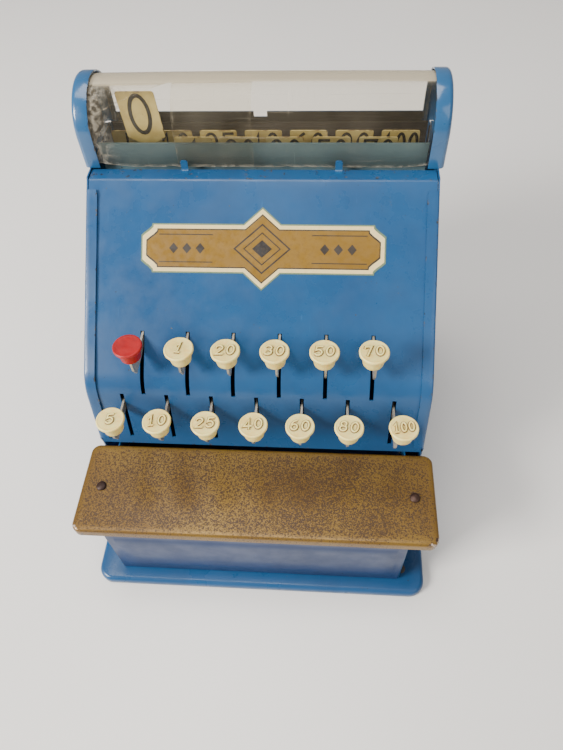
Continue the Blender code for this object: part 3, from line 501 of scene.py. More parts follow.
def profile(bend_steps=14):
    """The panel's outer face, from its foot over the bend and up to the flange along its crest."""
    bend = fillet(FOOT, BEND, CREST, BEND_RADIUS, bend_steps)
    return [FOOT, *bend, *fillet(BEND, CREST, CREST_END, CREST_RADIUS, 6), CREST_END]


def resample(path, step):
    """The path with extra points, so that none are further apart than step."""
    points = [path[0]]
    for a, b in zip(path, path[1:]):
        count = max(1, math.ceil((b - a).length / step))
        points += [a.lerp(b, k / count) for k in range(1, count + 1)]
    return points


def with_heights(path, heights):
    """The path with a point at each of the heights."""
    points = [path[0]]
    for a, b in zip(path, path[1:]):
        for z in sorted(h for h in heights if a.y + 1e-6 < h < b.y - 1e-6):
            points.append(a.lerp(b, (z - a.y) / (b.y - a.y)))
        points.append(b)
    return points


def with_normals(path):
    """Pairs of the profile's points and their outward normals, to the front and up."""
    for p, a, b in zip(path, path[:1] + path, path[1:] + path[-1:]):
        d = (b - a).normalized()
        yield p, Vector((-d.y, d.x))


KEY_NAMES = [n[len("key_cap_"):] for n in NODES if n.startswith("key_cap_")]
SLOT_HALF = 1 * MM


def slot_of(name):
    """A key's slot in the front panel: its place across, and its lowest and highest point."""
    x, step = middle(f"key_lever_{name}").x, 0.25 * MM
    z, found = PANEL_LOW.z + 1 * MM, []
    while z < PANEL_LOW.z + 62 * MM:
        if panel_hit(x, z) is None:
            found.append(z)
        z += step
    return x, min(found) - step / 2, max(found) + step / 2


SLOTS = [slot_of(name) for name in KEY_NAMES]


def front_panel():
    """Panel with its slots cut out, slightly wavy, worn along its borders and slots."""
    heights = sorted({round(z, 6) for _, low, high in SLOTS for z in (low, high)})
    path = with_heights(resample(profile(), 5 * MM), heights)
    columns = sorted({PANEL_LOW.x, PANEL_HIGH.x} | {x + s * SLOT_HALF for x, _, _ in SLOTS for s in (-1, 1)})
    for a, b in list(zip(columns, columns[1:])):
        count = math.ceil((b - a) / (5 * MM))
        columns += [a + (b - a) * k / count for k in range(1, count)]
    columns.sort()
    bm, wear = new_sheet()
    grid, still = [], 20 * MM
    for p, n in with_normals(path):
        border = min(abs(p.y - CREST_Z), abs(p.y - FOOT.y))
        row = []
        for x in columns:
            out = wobble((x, p.x, p.y), 22, PANEL_WAVE * min(border, still) / still)
            close = min(border, PANEL_HIGH.x - abs(x))
            place = (x, p.x + n.x * out, p.y + n.y * out)
            row.append(put(bm, place, wear, max(0, 0.5 - close / (1.2 * MM))))
        grid.append(row)
    for i in range(len(path) - 1):
        for j in range(len(columns) - 1):
            x, z = (columns[j] + columns[j + 1]) / 2, (path[i].y + path[i + 1].y) / 2
            if not any(abs(x - sx) < SLOT_HALF and low < z < high for sx, low, high in SLOTS):
                bm.faces.new((grid[i][j], grid[i][j + 1], grid[i + 1][j + 1], grid[i + 1][j]))
    for v in bm.verts:
        if v.is_boundary and FOOT.y + 1 * MM < v.co.z < CREST_Z - 30 * MM and abs(v.co.x) < 82 * MM:
            v[wear] = 0.3
    solid_sheet(bm, SHEET)
    bmesh.ops.delete(bm, geom=[v for v in bm.verts if not v.link_faces], context="VERTS")
    finish_mesh("front_panel_skin", bm, [BLUE], "body", ["front_panel"], 30)


def window_tabs():
    """Two tabs bent up from the crest, which hold the film's front edge."""
    back, top = PANEL_HIGH.y, PANEL_HIGH.z
    bend = [(back + y * MM, CREST_Z + z * MM)
            for y, z in ((-3.6, 0.06), (-1.6, 0.06), (-0.95, 0.25), (-0.7, 0.9))]
    bend += [(back - 0.7 * MM, top - 0.6 * MM), (back - 0.75 * MM, top)]
    halves = [1.7 * MM] * 5 + [1.2 * MM]
    bm, _ = new_sheet()
    for x in (-37.5 * MM, 37.5 * MM):
        skin(bm, [[bm.verts.new((x + half, y, z)), bm.verts.new((x - half, y, z))]
                  for half, (y, z) in zip(halves, bend)], turned=True)
    solid_sheet(bm, 0.6 * MM)
    bmesh.ops.recalc_face_normals(bm, faces=bm.faces)
    finish_mesh("window_tabs", bm, [BLUE_EDGE], "body", smooth=60)


def side_panel(side):
    """Side of the body, folded with a small radius over the front panel's edge."""
    name = "side_panel_left" if side < 0 else "side_panel_right"
    low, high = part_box(name)
    outer = max(abs(low.x), abs(high.x))
    stand, radius, width, cut = 1 * MM, 1.1 * MM, 5.7 * MM, 1.2 * MM
    start, end = low.z + 58.3 * MM, high.z - 4 * MM
    whole = with_heights(resample(profile(16), 3.5 * MM), [start, end])
    fold = [(p + n * stand, n) for p, n in with_normals(whole) if start - 1e-6 <= p.y <= end + 1e-6]
    bm, wear = new_sheet()
    rows = []
    for k, (p, n) in enumerate(fold):
        from_end = min(k, len(fold) - 1 - k)
        row = []
        for turn, worn in ((0, 0), (30, 0.28), (60, 0.52), (90, 0.42)):
            x, y = polar(turn, radius)
            q = p - n * (radius - y)
            row.append(put(bm, (side * (outer - radius + x), q.x, q.y), wear, worn))
        for share, worn in ((0.35, 0.1), (0.7, 0.22), (1, 0.66)):
            lift = max(wobble((side * 3, p.x, p.y), 60, 0.35 * MM * share, 4 + side), -0.2 * MM)
            q = p + n * (lift + (0.25 * MM * share if from_end < 2 else 0))
            trim = 0.6 * MM * share if from_end == 0 else 0
            inward = radius + (width - radius) * share - trim
            row.append(put(bm, (side * (outer - inward), q.x, q.y), wear, worn))
        rows.append(row)
    skin(bm, rows)
    first, front = fold[0][0], FOOT.x + stand
    below = [(first.x + 0.3 * MM, first.y - 0.5 * MM), (front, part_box("shelf")[1].z), (front, low.z + cut),
             (front + cut, low.z)]
    above = [(CREST.x - 0.3 * MM, CREST_Z - 0.3 * MM), (CREST.x + 0.3 * MM, high.z), (high.y - cut, high.z),
             (high.y, high.z - cut), (high.y, low.z + cut), (high.y - cut, low.z)]
    rim, top = [[put(bm, (side * outer, y, z), wear, 0.6) for y, z in points] for points in (below, above)]
    plate = bm.faces.new([row[0] for row in rows] + top + rim[::-1])
    face_outwards(bm, plate, (side, 0, 0))
    bmesh.ops.inset_individual(bm, faces=[plate], thickness=1.6 * MM, depth=0.0)
    for v in plate.verts:
        v[wear] = 0.05
    solid_sheet(bm, SHEET)
    finish_mesh(f"{name}_skin", bm, [BLUE], "body", [name], 40)


def cheek(side):
    """Arched cheek, a drawn cup with a rolled edge, open towards the film."""
    name = "cheek_left" if side < 0 else "cheek_right"
    low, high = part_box(name)
    outer, deep, roll = max(abs(low.x), abs(high.x)), 7.8 * MM, 2.3 * MM
    centre, radius = (low.y + high.y) / 2, (high.y - low.y) / 2
    arch = high.z - radius
    straight = [low.z + (arch - low.z) * k / 6 for k in range(6)]
    turns = [polar(180 - 5 * k) for k in range(37)]
    # Places (y, z) round the arch, and the direction outwards at each.
    outline = [(low.y, z, -1, 0) for z in straight]
    outline += [(centre + radius * y, arch + radius * z, y, z) for y, z in turns]
    outline += [(high.y, z, 1, 0) for z in reversed(straight)]
    # How far in from the outer face, how far within the outline, and wear.
    sections = [(0, roll + 0.5 * MM, 0)]
    sections += [(roll * (1 - x), roll * (1 - y), 0.35) for x, y in map(polar, (15, 35, 55, 75, 90))]
    sections += [(deep * 0.62, 0, 0.12), (deep - 0.5 * MM, 0, 0.38), (deep, 0.12 * MM, 0.72)]
    bm, wear = new_sheet()
    rows = []
    for inward, inset, worn in sections:
        row = []
        for y, z, ny, nz in outline:
            within = inset + max(0, wobble((side * 9, y, z), 60, 0.12 * MM))
            row.append(put(bm, (side * (outer - inward), y - ny * within, z - nz * within), wear, worn))
        rows.append(row)
    skin(bm, rows)
    flat = bm.faces.new(rows[0])
    ledge = [[bm.verts.new((side * (outer - inward), y, low.z + 0.6 * MM)) for inward in (0.8 * MM, 3.4 * MM)]
             for y in (low.y + 3.2 * MM, high.y - 3.2 * MM)]
    bm.faces.new((*ledge[0], *reversed(ledge[1])))
    face_outwards(bm, flat, (side, 0, 0))
    solid_sheet(bm, SHEET)
    piece = finish_mesh(f"{name}_skin", bm, [BLUE_EDGE, DARK], "body", [name], 40)
    for f in piece.data.polygons:
        if f.normal.x * side < -0.9 and abs(f.center.x) < outer - 0.3 * MM and f.area > 20 * MM * MM:
            f.material_index = 1


def film():
    """The bowed window: a film with a ragged front edge, and two overlapping patches."""
    low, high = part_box("window")
    radius = (high.y - low.y) / 2
    centre, arch = (low.y + high.y) / 2, high.z - radius
    foot = 180 + math.degrees((arch - low.z) / radius)
    clear_of_box, thickness, tuck = 0.35 * MM, 0.22 * MM, 2.6 * MM

    def arc_point(turn, r):
        """A point at an angle in degrees: 180 is the start of the arch at the front."""
        if 0 <= turn <= 180:
            y, z = polar(turn, r)
            return centre + y, arch + z
        drop = math.radians(max(turn - 180, -turn)) * radius
        return centre + (r if turn < 0 else -r), arch - drop

    def sheet(name, x_start, x_end, inset, material, front, worn, back, replaces=()):
        bm, wear = new_sheet()
        stain = layer(bm, "stain")
        columns, steps = max(8, int((x_end - x_start) / (1.6 * MM))), 56
        rows = []
        for i in range(columns + 1):
            x = x_start + (x_end - x_start) * i / columns
            end = front(x)
            crumple = 0.34 * min(1, max(0, 1 - (x - low.x) / (10 * MM))) if name == "window_film" else 0
            row = []
            for k in range(steps + 1):
                turn = back + (end - back) * k / steps
                bow = clear_of_box * math.cos(x / high.x * math.pi / 2) if 20 < turn < 160 else 0
                v = bm.verts.new((x, *arc_point(turn, radius - inset - clear_of_box + bow)))
                near = (end - turn) / 360 * 2 * math.pi * radius
                side = min(abs(x - x_start), abs(x_end - x))
                v[wear] = max(0, worn - near / (0.7 * MM), 0.5 * worn - side / (0.5 * MM), crumple)
                v[stain] = max(0, 1 - near / (3 * MM))
                v.co.z += wobble(v.co, 330, 0.3 * MM * crumple)
                row.append(v)
            rows.append(row)
        skin(bm, rows, turned=True)
        face_outwards(bm, max(bm.faces, key=lambda f: f.calc_center_median().z), (0, 0, 1))
        solid_sheet(bm, thickness)
        finish_mesh(name, bm, [material], "body", replaces, 50)

    rng = random.Random(7)
    chips = [(rng.uniform(low.x, high.x), rng.uniform(1, 4.5) * MM, rng.uniform(0.4, 2.2))
             for _ in range(14)]

    def ragged(x):
        """Where the film's front edge is, in degrees: chipped, and torn back at both ends."""
        bite = max(0, *[depth * (1 - abs(x - cx) / width) for cx, width, depth in chips])
        left = min(1, max(0, 1 - (x - low.x) / (17 * MM)))
        right = min(1, max(0, 1 - (high.x - x) / (14 * MM)))
        fray = 0.6 * abs(noise.noise(Vector((x * 400, 0.3, 0))))
        return foot - 0.2 - bite - 6 * left ** 2 - 4 * right ** 2 - fray

    def cut_corner(x):
        return 150 - 52 * (x - low.x) / (37 * MM)

    sheet("window_film", low.x - tuck, high.x + tuck, 0, FILM, ragged, 0.38, 180 - foot, ["window"])
    sheet("window_film_seam", low.x + 38.6 * MM, -3.5 * MM, 0.45 * MM, FILM_PATCH,
          lambda x: ragged(x) - 1.2, 0.3, 75)
    sheet("window_film_patch", low.x + 0.8 * MM, low.x + 38 * MM, 0.9 * MM, FILM_PATCH, cut_corner, 0.5, 75)


# ---------------- digits
def arc(cx, cy, rx, ry, start, end, steps=12):
    turns = [polar(start + (end - start) * k / steps) for k in range(steps + 1)]
    return [(cx + rx * x, cy + ry * y) for x, y in turns]


# Strokes of each digit, on a field one high and 0.64 wide.
DIGITS = {
    "0": [arc(0.32, 0.5, 0.28, 0.5, 90, 450, 24)],
    "1": [[(0.12, 0.78), (0.34, 1), (0.34, 0)], [(0.16, 0), (0.52, 0)]],
    "2": [arc(0.32, 0.72, 0.27, 0.28, 165, -35) + [(0.06, 0), (0.62, 0)]],
    "3": [arc(0.3, 0.76, 0.25, 0.24, 150, -80) + arc(0.3, 0.27, 0.29, 0.27, 80, -150)],
    "4": [[(0.46, 0), (0.46, 1), (0.04, 0.3), (0.64, 0.3)]],
    "5": [[(0.58, 1), (0.14, 1), (0.1, 0.56)] + arc(0.3, 0.32, 0.29, 0.32, 120, -150, 14)],
    "6": [arc(0.6, 0.42, 0.53, 0.6, 105, 180, 8) + arc(0.33, 0.3, 0.26, 0.3, 180, 540, 20)],
    "7": [[(0.06, 0.86), (0.08, 1), (0.6, 1), (0.24, 0)]],
    "8": [arc(0.32, 0.76, 0.22, 0.24, -90, 270, 18), arc(0.32, 0.27, 0.27, 0.27, 90, 450, 18)],
}


def number_strokes(text, height, slant, squeeze, gap):
    """Strokes of a number, centred on the origin, in metres."""
    advance = (0.64 + gap) * squeeze
    width = advance * len(text) - gap * squeeze
    for k, digit in enumerate(text):
        for stroke in DIGITS[digit]:
            yield [((x * squeeze + k * advance - width / 2 + (y - 0.5) * slant) * height, (y - 0.5) * height)
                   for x, y in stroke]


# Sections across a stroke: place in halves of its width, height in rises, and grime with painted shade,
# darkest at the stroke's foot.
MOULDED = ((-1.9, -0.03, 0.2), (-1.4, 0.03, 0.8), (-1, 0.07, 1), (-0.84, 0.7, 0.75), (-0.46, 1, 0),
           (0.46, 1, 0), (0.84, 0.7, 0.75), (1, 0.07, 1), (1.4, 0.03, 0.8), (1.9, -0.03, 0.2))
PRINTED = ((-1, -0.15, 0), (-1, 1, 0), (1, 1, 0), (1, -0.15, 0))


def ribbon(bm, stroke, half, place, rise, section):
    """A raised stroke on a face. place(x, y, height) gives a point in the frame."""
    points = [Vector(p) for p in stroke]
    closed = (points[0] - points[-1]).length < 1e-7
    if closed:
        points = points[:-1]
    count = len(points)
    grime_and_shade = layer(bm, "grime_and_shade")
    rows = []
    for k, p in enumerate(points):
        a = points[k - 1] if (closed or k) else p
        b = points[(k + 1) % count] if (closed or k < count - 1) else p
        d1, d2 = (p - a), (b - p)
        d1 = d1.normalized() if d1.length else d2.normalized()
        d2 = d2.normalized() if d2.length else d1
        mean = (d1 + d2).normalized()
        n = Vector((-mean.y, mean.x))
        wide = half / max(0.45, n.dot(Vector((-d1.y, d1.x))))
        if not closed and k in (0, count - 1):
            p = p + mean * half * (0.6 if k else -0.6)
        rows.append([put(bm, place(p.x + n.x * s * wide, p.y + n.y * s * wide, h * rise), grime_and_shade, dirt_and_shade)
                     for s, h, dirt_and_shade in section])
    skin(bm, rows + rows[:1] if closed else rows, closed=True)
    if not closed:
        bm.faces.new(rows[0])
        bm.faces.new(rows[-1][::-1])


# ---------------- keys and flags
# How each cap sits on its lever: across, back and up in mm, and its number's turn in degrees.
SEATS = {
    "0": (-0.2, 1.2, 2.2, 0), "1": (0.9, 0.7, 1.6, -6), "5": (0.7, 0.2, 0.7, 9), "10": (0.4, 0.2, 0.6, 9),
    "20": (-0.4, 0.6, 1.2, 4), "25": (0.8, 0, 0.3, 4), "30": (-0.6, 0.7, 1.5, 0), "40": (0.8, 0, 0.3, 8),
    "50": (-0.7, 0.9, 1.6, 2), "60": (0.1, 0, 0.4, 0), "70": (-1.2, 1.2, 2, 6), "80": (0.2, 0.1, 0.4, -4),
    "100": (2.5, 0.5, 0.9, 10)}


def key_cap(name):
    """Moulded cap: rimmed disc, tapered collar and raised number. It is brown in the corners, under the rim
    and round the number, partly from grime and partly as painted shade.
    """
    low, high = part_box(f"key_cap_{name}")
    across, back, up, turned = SEATS[name]
    cx, cy, top = (low.x + high.x) / 2 + across * MM, (low.y + high.y) / 2 + back * MM, high.z + up * MM
    # The rest of the shape is in mm: radius, height, and grime with painted shade, from the face's middle to
    # the collar's foot.
    r, foot = 0.94 * (high.x - low.x) / 2 / MM, (low.z - high.z) / MM - 1.2
    dish, rim = (-0.05 if name == "0" else -0.16), 0.8
    inner = r - rim
    shape = [(0, dish, 0.3), (r * 0.35, dish, 0.28), (r * 0.66, dish, 0.16), (inner - 0.5, dish, 0.12),
             (inner - 0.1, dish + 0.05, 0.16), (inner + 0.15, -0.03, 0.05), (r - rim * 0.6, 0, 0),
             (r - 0.42, -0.02, 0), (r - 0.14, -0.16, 0), (r, -0.5, 0.05), (r, -1.2, 0.1),
             (r - 0.16, -1.6, 0.2), (r - 0.6, -1.85, 0.5), (r * 0.84, -2, 0.9), (r * 0.81, -2.3, 0.7),
             (r * 0.79, -3.4, 0.2), (r * 0.75, -5.6, 0.1), (r * 0.7, foot + 0.3, 0.2), (r * 0.62, foot, 0.4),
             (0, foot, 0.8)]
    bm = bmesh.new()
    grime_and_shade = layer(bm, "grime_and_shade")
    seed, radius = sum(map(ord, name)), r * MM
    rings = lathe(bm, [(reach * MM, z * MM) for reach, z, _ in shape], (cx, cy, top), 56)
    for ring, (reach, _, dirt_and_shade) in zip(rings, shape):
        for v in ring:
            v[grime_and_shade] = dirt_and_shade
            if reach > r * 0.5:
                out = Vector((v.co.x - cx, v.co.y - cy)).normalized()
                dent = noise.noise(Vector((out.x * 2.2, out.y * 2.2, seed * 0.37)))
                v.co -= out.to_3d() * max(0, dent) * 0.22 * MM
    # A burr where the moulding was cut from its sprue.
    size, out = 0.9 * MM, radius - 0.35 * MM
    burr = Vector((cx + math.cos(seed * 1.3) * out, cy + math.sin(seed * 1.3) * out, top - 1.2 * MM))
    for v in bm.verts:
        near = (v.co - burr).length
        if near < size:
            v.co += (v.co - Vector((cx, cy, v.co.z))).normalized() * 0.1 * MM * (1 - near / size)
    if name != "0":
        height, squeeze = (4.5 * MM, 1.22) if len(name) < 3 else (4.1 * MM, 0.92)
        turn = Matrix.Rotation(math.radians(turned), 2)

        def place(x, y, h):
            spun = turn @ Vector((x, y * 1.08 + 0.15 * MM))
            return Vector((cx + spun.x, cy + spun.y, top + dish * MM + h))

        for stroke in number_strokes(name, height, 0.1, squeeze, 0.3):
            ribbon(bm, stroke, 0.5 * MM, place, 0.62 * MM, MOULDED)
    bmesh.ops.recalc_face_normals(bm, faces=bm.faces)
    material, slot = (RED, "red_plastic") if name == "0" else (CREAM, "cream_plastic")
    finish_mesh(f"key_cap_{name}_moulding", bm, [material], f"key_{name}", [f"key_cap_{name}"], 50)


def flag(name):
    """Flag plate with a printed number, its corners rounded and its edges worn, on a stem with a foot."""
    node = f"flag_{name}"
    low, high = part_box(node)
    cx, half, top, foot = (low.x + high.x) / 2, (high.x - low.x) / 2, high.z, low.z
    thickness, stem, corner, plate = 0.6 * MM, 2.5 * MM, 1.2 * MM, 24 * MM
    front = high.y - thickness
    outline = [(stem, foot), (stem, top - plate), (half, top - plate + (half - stem) / 2)]
    round_corner = [polar(t, corner) for t in (0, 22, 45, 68, 90)]
    outline += [(half - corner + x, top - corner + z) for x, z in round_corner]
    outline += [(-x, z) for x, z in reversed(outline)]
    bm, wear = new_sheet()
    face = bm.faces.new([bm.verts.new((cx + x, front, z)) for x, z in outline])
    bmesh.ops.recalc_face_normals(bm, faces=bm.faces)
    if face.normal.y > 0:
        face.normal_flip()
    bmesh.ops.inset_individual(bm, faces=[face], thickness=0.8 * MM, depth=0.0)
    for v in bm.verts:
        v[wear] = 0.62 if v.is_boundary else 0.1
    solid_sheet(bm, thickness)
    count = len(bm.faces)
    size, squeeze, half_stroke = (17 * MM, 0.95, 0.95 * MM) if name == "0" else (16.5 * MM, 0.62, 0.72 * MM)
    if len(name) == 3:
        squeeze = 0.46
    centre = top - 1.6 * MM - size / 2

    def place(x, y, h):
        return Vector((cx + x, front - 0.01 * MM - h, centre + y))

    for stroke in number_strokes(name, size, 0.05, squeeze, 0.18):
        ribbon(bm, stroke, half_stroke, place, 0.05 * MM, PRINTED)
    bm.faces.ensure_lookup_table()
    for f in bm.faces[count:]:
        f.material_index = 1
    bmesh.ops.recalc_face_normals(bm, faces=bm.faces)
    # The foot of the stem, bent to the front.
    y0, y1 = low.y, front - 0.02 * MM
    corners = [bm.verts.new((cx + x, y, foot + z)) for z in (0, thickness)
               for x, y in ((-stem, y0), (stem, y0), (stem, y1), (-stem, y1))]
    for quad in ((0, 3, 2, 1), (4, 5, 6, 7), (0, 1, 5, 4), (1, 2, 6, 5), (2, 3, 7, 6), (3, 0, 4, 7)):
        bm.faces.new([corners[k] for k in quad])
    if name == "0":
        # The raised flag leans to the left and back.
        for v in bm.verts:
            v.co += Vector((-2.6, 3, 1)) * max(0, (v.co.z - top + plate) / plate) * MM
    finish_mesh(f"{node}_plate", bm, [CARD, INK], node, [node], 40)


# ---------------- plinth, shelf, drawer
def plinth():
    """Pressed plinth with a rolled edge and a flat rim turned in underneath."""
    low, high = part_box("base_plate")
    near = 9 * MM
    levels = [(5 * MM, 0), (0.5 * MM, 0), (0.12 * MM, 0.12 * MM), (0, 0.5 * MM)]
    levels += rolled(2.6 * MM, high.z) + [(6 * MM, high.z)]
    bm, wear = new_sheet()
    rows = pressing(bm, high.x, low.y, high.y, 8.5 * MM, levels)
    for k, row in enumerate(rows):
        worn = (0.4, 0.4, 0.5, 0.45, 0.2, 0.26, 0.3, 0.24, 0.1, 0.05, 0)[k]
        for v in row:
            at_end = min(abs(v.co.y - low.y), abs(v.co.y - high.y)) < near
            v[wear] = worn + (0.12 if at_end and abs(v.co.x) > high.x - near else 0)
            if 3 < k < 10:
                v.co.z += wobble(v.co, 35, 0.12 * MM) - 0.06 * MM
    bmesh.ops.recalc_face_normals(bm, faces=bm.faces)
    solid_sheet(bm, SHEET)
    finish_mesh("plinth_pressing", bm, [BLUE], "body", ["base_plate"], 40)


def plinth_tabs():
    """Channel tabs that come through the plinth beside the drawer, and are bent over. Their dark colour is
    painted shade of the slots.
    """
    low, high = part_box("base_plate")
    wall, length = 77.5 * MM, 5.4 * MM
    bm = bmesh.new()
    for side in (-1, 1):
        for y in (low.y + 13.5 * MM, low.y + 66 * MM, low.y + 128 * MM):
            ring = [(side * (wall + 2.6 * MM * out), y - length / 2 * back)
                    for back, out in (polar(22.5 * k) for k in range(9))]
            base, cap = [[bm.verts.new((px, py, high.z + z * MM)) for px, py in ring] for z in (0.05, 0.5)]
            bm.faces.new(base)
            bm.faces.new(cap[::-1])
            skin(bm, [base, cap], closed=True, turned=True)
    bmesh.ops.recalc_face_normals(bm, faces=bm.faces)
    bmesh.ops.bevel(bm, geom=[e for e in bm.edges if all(v.co.z > high.z + 0.3 * MM for v in e.verts)],
                    offset=0.18 * MM, segments=2, profile=0.5, affect="EDGES")
    finish_mesh("channel_tabs", bm, [SLOT_SHADE_TABS], "body", smooth=50)


def shelf():
    """Shelf pressing: round front corners, rolled edge, lip on three sides."""
    low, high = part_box("shelf")
    x, y0, y1, corner, edge = high.x + 0.4 * MM, low.y - 1.6 * MM, high.y + 1.8 * MM, 4.6 * MM, 1.5 * MM
    levels = [(0.15 * MM, low.z), (0, low.z + 0.15 * MM), (0, low.z + 2 * MM)]
    levels += rolled(edge, high.z) + [(3.2 * MM, high.z), (6 * MM, high.z)]
    bm, wear = new_sheet()
    edging = layer(bm, "edge")
    for k, row in enumerate(pressing(bm, x, y0, y1, corner, levels)):
        worn = (0.2, 0.15, 0.1, 0.1, 0.1, 0.1, 0.1, 0.1, 0.05, 0, 0)[k]
        for v in row:
            at_corner = abs(v.co.y - y0) < 5 * MM and abs(v.co.x) > x - 5 * MM
            v[wear] = worn + (0.5 if at_corner and k < 9 else 0)
            v[edging] = 1 if k < 9 else (0.45 if k == 9 else 0)
    back = [f for f in bm.faces if all(v.co.y > y1 - 1.2 * MM for v in f.verts)
            and min(v.co.z for v in f.verts) < high.z - edge + 0.05 * MM
            and all(abs(v.co.x) < x - corner + 0.1 * MM for v in f.verts)]
    bmesh.ops.delete(bm, geom=back, context="FACES")
    bmesh.ops.recalc_face_normals(bm, faces=bm.faces)
    solid_sheet(bm, SHEET)
    finish_mesh("shelf_pressing", bm, [BRONZE], "body", ["shelf"], 40)


def shelf_rivet(name):
    """Domed rivet with a tubular shank, spread under the shelf."""
    low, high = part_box(name)
    cx, cy, radius = (low.x + high.x) / 2, (low.y + high.y) / 2, (high.x - low.x) / 2
    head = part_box("shelf")[1].z
    rise, under = high.z - head, head + 0.02 * MM
    dome = [polar(t) for t in (12, 26, 40, 54, 66, 78, 88)]
    shape = [(0, high.z)] + [(radius * out, head + rise * (0.25 + 0.75 * up)) for up, out in dome]
    shape += [(radius, head + rise * 0.1), (radius - 0.1 * MM, under), (radius * 0.42, under),
              (radius * 0.42, low.z + 1.2 * MM), (radius * 0.66, low.z + 1.1 * MM),
              (radius * 0.6, low.z + 0.2 * MM), (radius * 0.4, low.z), (0, low.z)]
    bm = bmesh.new()
    lathe(bm, shape, (cx, cy, 0), 36)
    for v in bm.verts:
        if v.co.z > head + rise * 0.3:
            v.co.z += wobble(v.co, 900, 0.12 * MM) - 0.05 * MM
    bmesh.ops.recalc_face_normals(bm, faces=bm.faces)
    finish_mesh(f"{name}_head", bm, [RIVET], "body", [name], 50)


def grid_line(marks, fine):
    """Places from the lowest to the highest mark, none further apart than fine."""
    points, out = sorted(marks), []
    for a, b in zip(points, points[1:]):
        count = max(1, math.ceil((b - a) / fine))
        out += [a + (b - a) * k / count for k in range(count)]
    return out + [points[-1]]


def drawer_front():
    """Drawer front with a pressed border round a slightly raised field."""
    low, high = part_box("drawer")
    x, z0, z1 = high.x, low.z, high.z
    border, above, slope = 3.4 * MM, 6.5 * MM, 0.9 * MM
    xs = grid_line([-x, -x + border, -x + border + slope, x - border - slope, x - border, x], 7 * MM)
    zs = grid_line([z0, z0 + border, z0 + border + slope, z1 - above - slope, z1 - above, z1], 5 * MM)
    bm, wear = new_sheet()
    rows = []
    for z in zs:
        row = []
        for px in xs:
            inside = max(0, min(1, min(x - abs(px) - border, z - z0 - border, z1 - above - z) / slope))
            dent = max(-0.16 * MM, wobble((px, 1, z), 26, 0.08 * MM))
            y = low.y + 0.55 * MM - 0.38 * MM * inside * inside * (3 - 2 * inside) + dent
            close = min(x - abs(px), z - z0, z1 - z)
            row.append(put(bm, (px, y, z), wear, max(0, 0.55 - close / (1.4 * MM))))
        rows.append(row)
    skin(bm, rows)
    solid_sheet(bm, SHEET)
    finish_mesh("drawer_front", bm, [SHADED_DRAWER_BLUE], "drawer", ["drawer"], 40)


def drawer_tray():
    """Tray behind the drawer front, folded from one sheet with small radii."""
    low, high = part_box("drawer")
    x, z0, top = high.x, low.z, high.z - 7.2 * MM
    start, back, r = low.y + 1.5 * MM, high.y, 1 * MM
    cut = 0.3 * r
    half = [(x - r, z0), (x - cut, z0 + cut), (x, z0 + r), (x, top)]
    section = [(-px, z) for px, z in reversed(half)] + half
    bm, wear = new_sheet()
    places = [start + (back - r - start) * k / 12 for k in range(13)]
    rows = [[bm.verts.new((px, y, z)) for px, z in section] for y in places]
    skin(bm, rows)
    last = rows[-1]
    ends = [bm.verts.new((v.co.x * (1 - cut / x), back - cut, v.co.z + (cut if v.co.z < z0 + r else 0)))
            for v in last]
    wall = [bm.verts.new((v.co.x * (1 - r / x), back, max(v.co.z, z0 + r))) for v in last]
    skin(bm, [last, ends, wall])
    bmesh.ops.remove_doubles(bm, verts=wall, dist=0.02 * MM)
    bm.faces.new([v for v in wall if v.is_valid])
    for v in bm.verts:
        v[wear] = 0.58 if v.co.z > top - 0.1 * MM else 0.05
    face_outwards(bm, min(bm.faces, key=lambda f: f.calc_center_median().z), (0, 0, -1))
    solid_sheet(bm, SHEET)
    finish_mesh("drawer_tray", bm, [SHADED_DRAWER_BLUE], "drawer", smooth=40)


# ---------------- plaque
def slices(bm, points, place, low, high):
    """A thin sheet of a closed outline that follows the panel: cut in columns, then laid on it."""
    flat = bmesh.new()
    flat.faces.new([flat.verts.new((x, s, 0)) for x, s in points])
    start, end, step = min(p[0] for p in points), max(p[0] for p in points), 5 * MM
    for k in range(1, int((end - start) / step) + 1):
        geom = flat.verts[:] + flat.edges[:] + flat.faces[:]
        bmesh.ops.bisect_plane(flat, geom=geom, plane_co=(start + k * step, 0, 0), plane_no=(1, 0, 0),
                               dist=1e-7)
    flat.normal_update()
    flat.faces.ensure_lookup_table()
    if flat.faces[0].normal.z < 0:
        bmesh.ops.reverse_faces(flat, faces=flat.faces)
    top, base = [{v: bm.verts.new(place(v.co.x, v.co.y, h)) for v in flat.verts} for h in (high, low)]
    for f in flat.faces:
        bm.faces.new([top[v] for v in f.verts])
        bm.faces.new([base[v] for v in reversed(f.verts)])
        for l in f.loops:
            if l.edge.is_boundary:
                a, b = l.vert, l.link_loop_next.vert
                bm.faces.new((top[b], top[a], base[a], base[b]))
    flat.free()


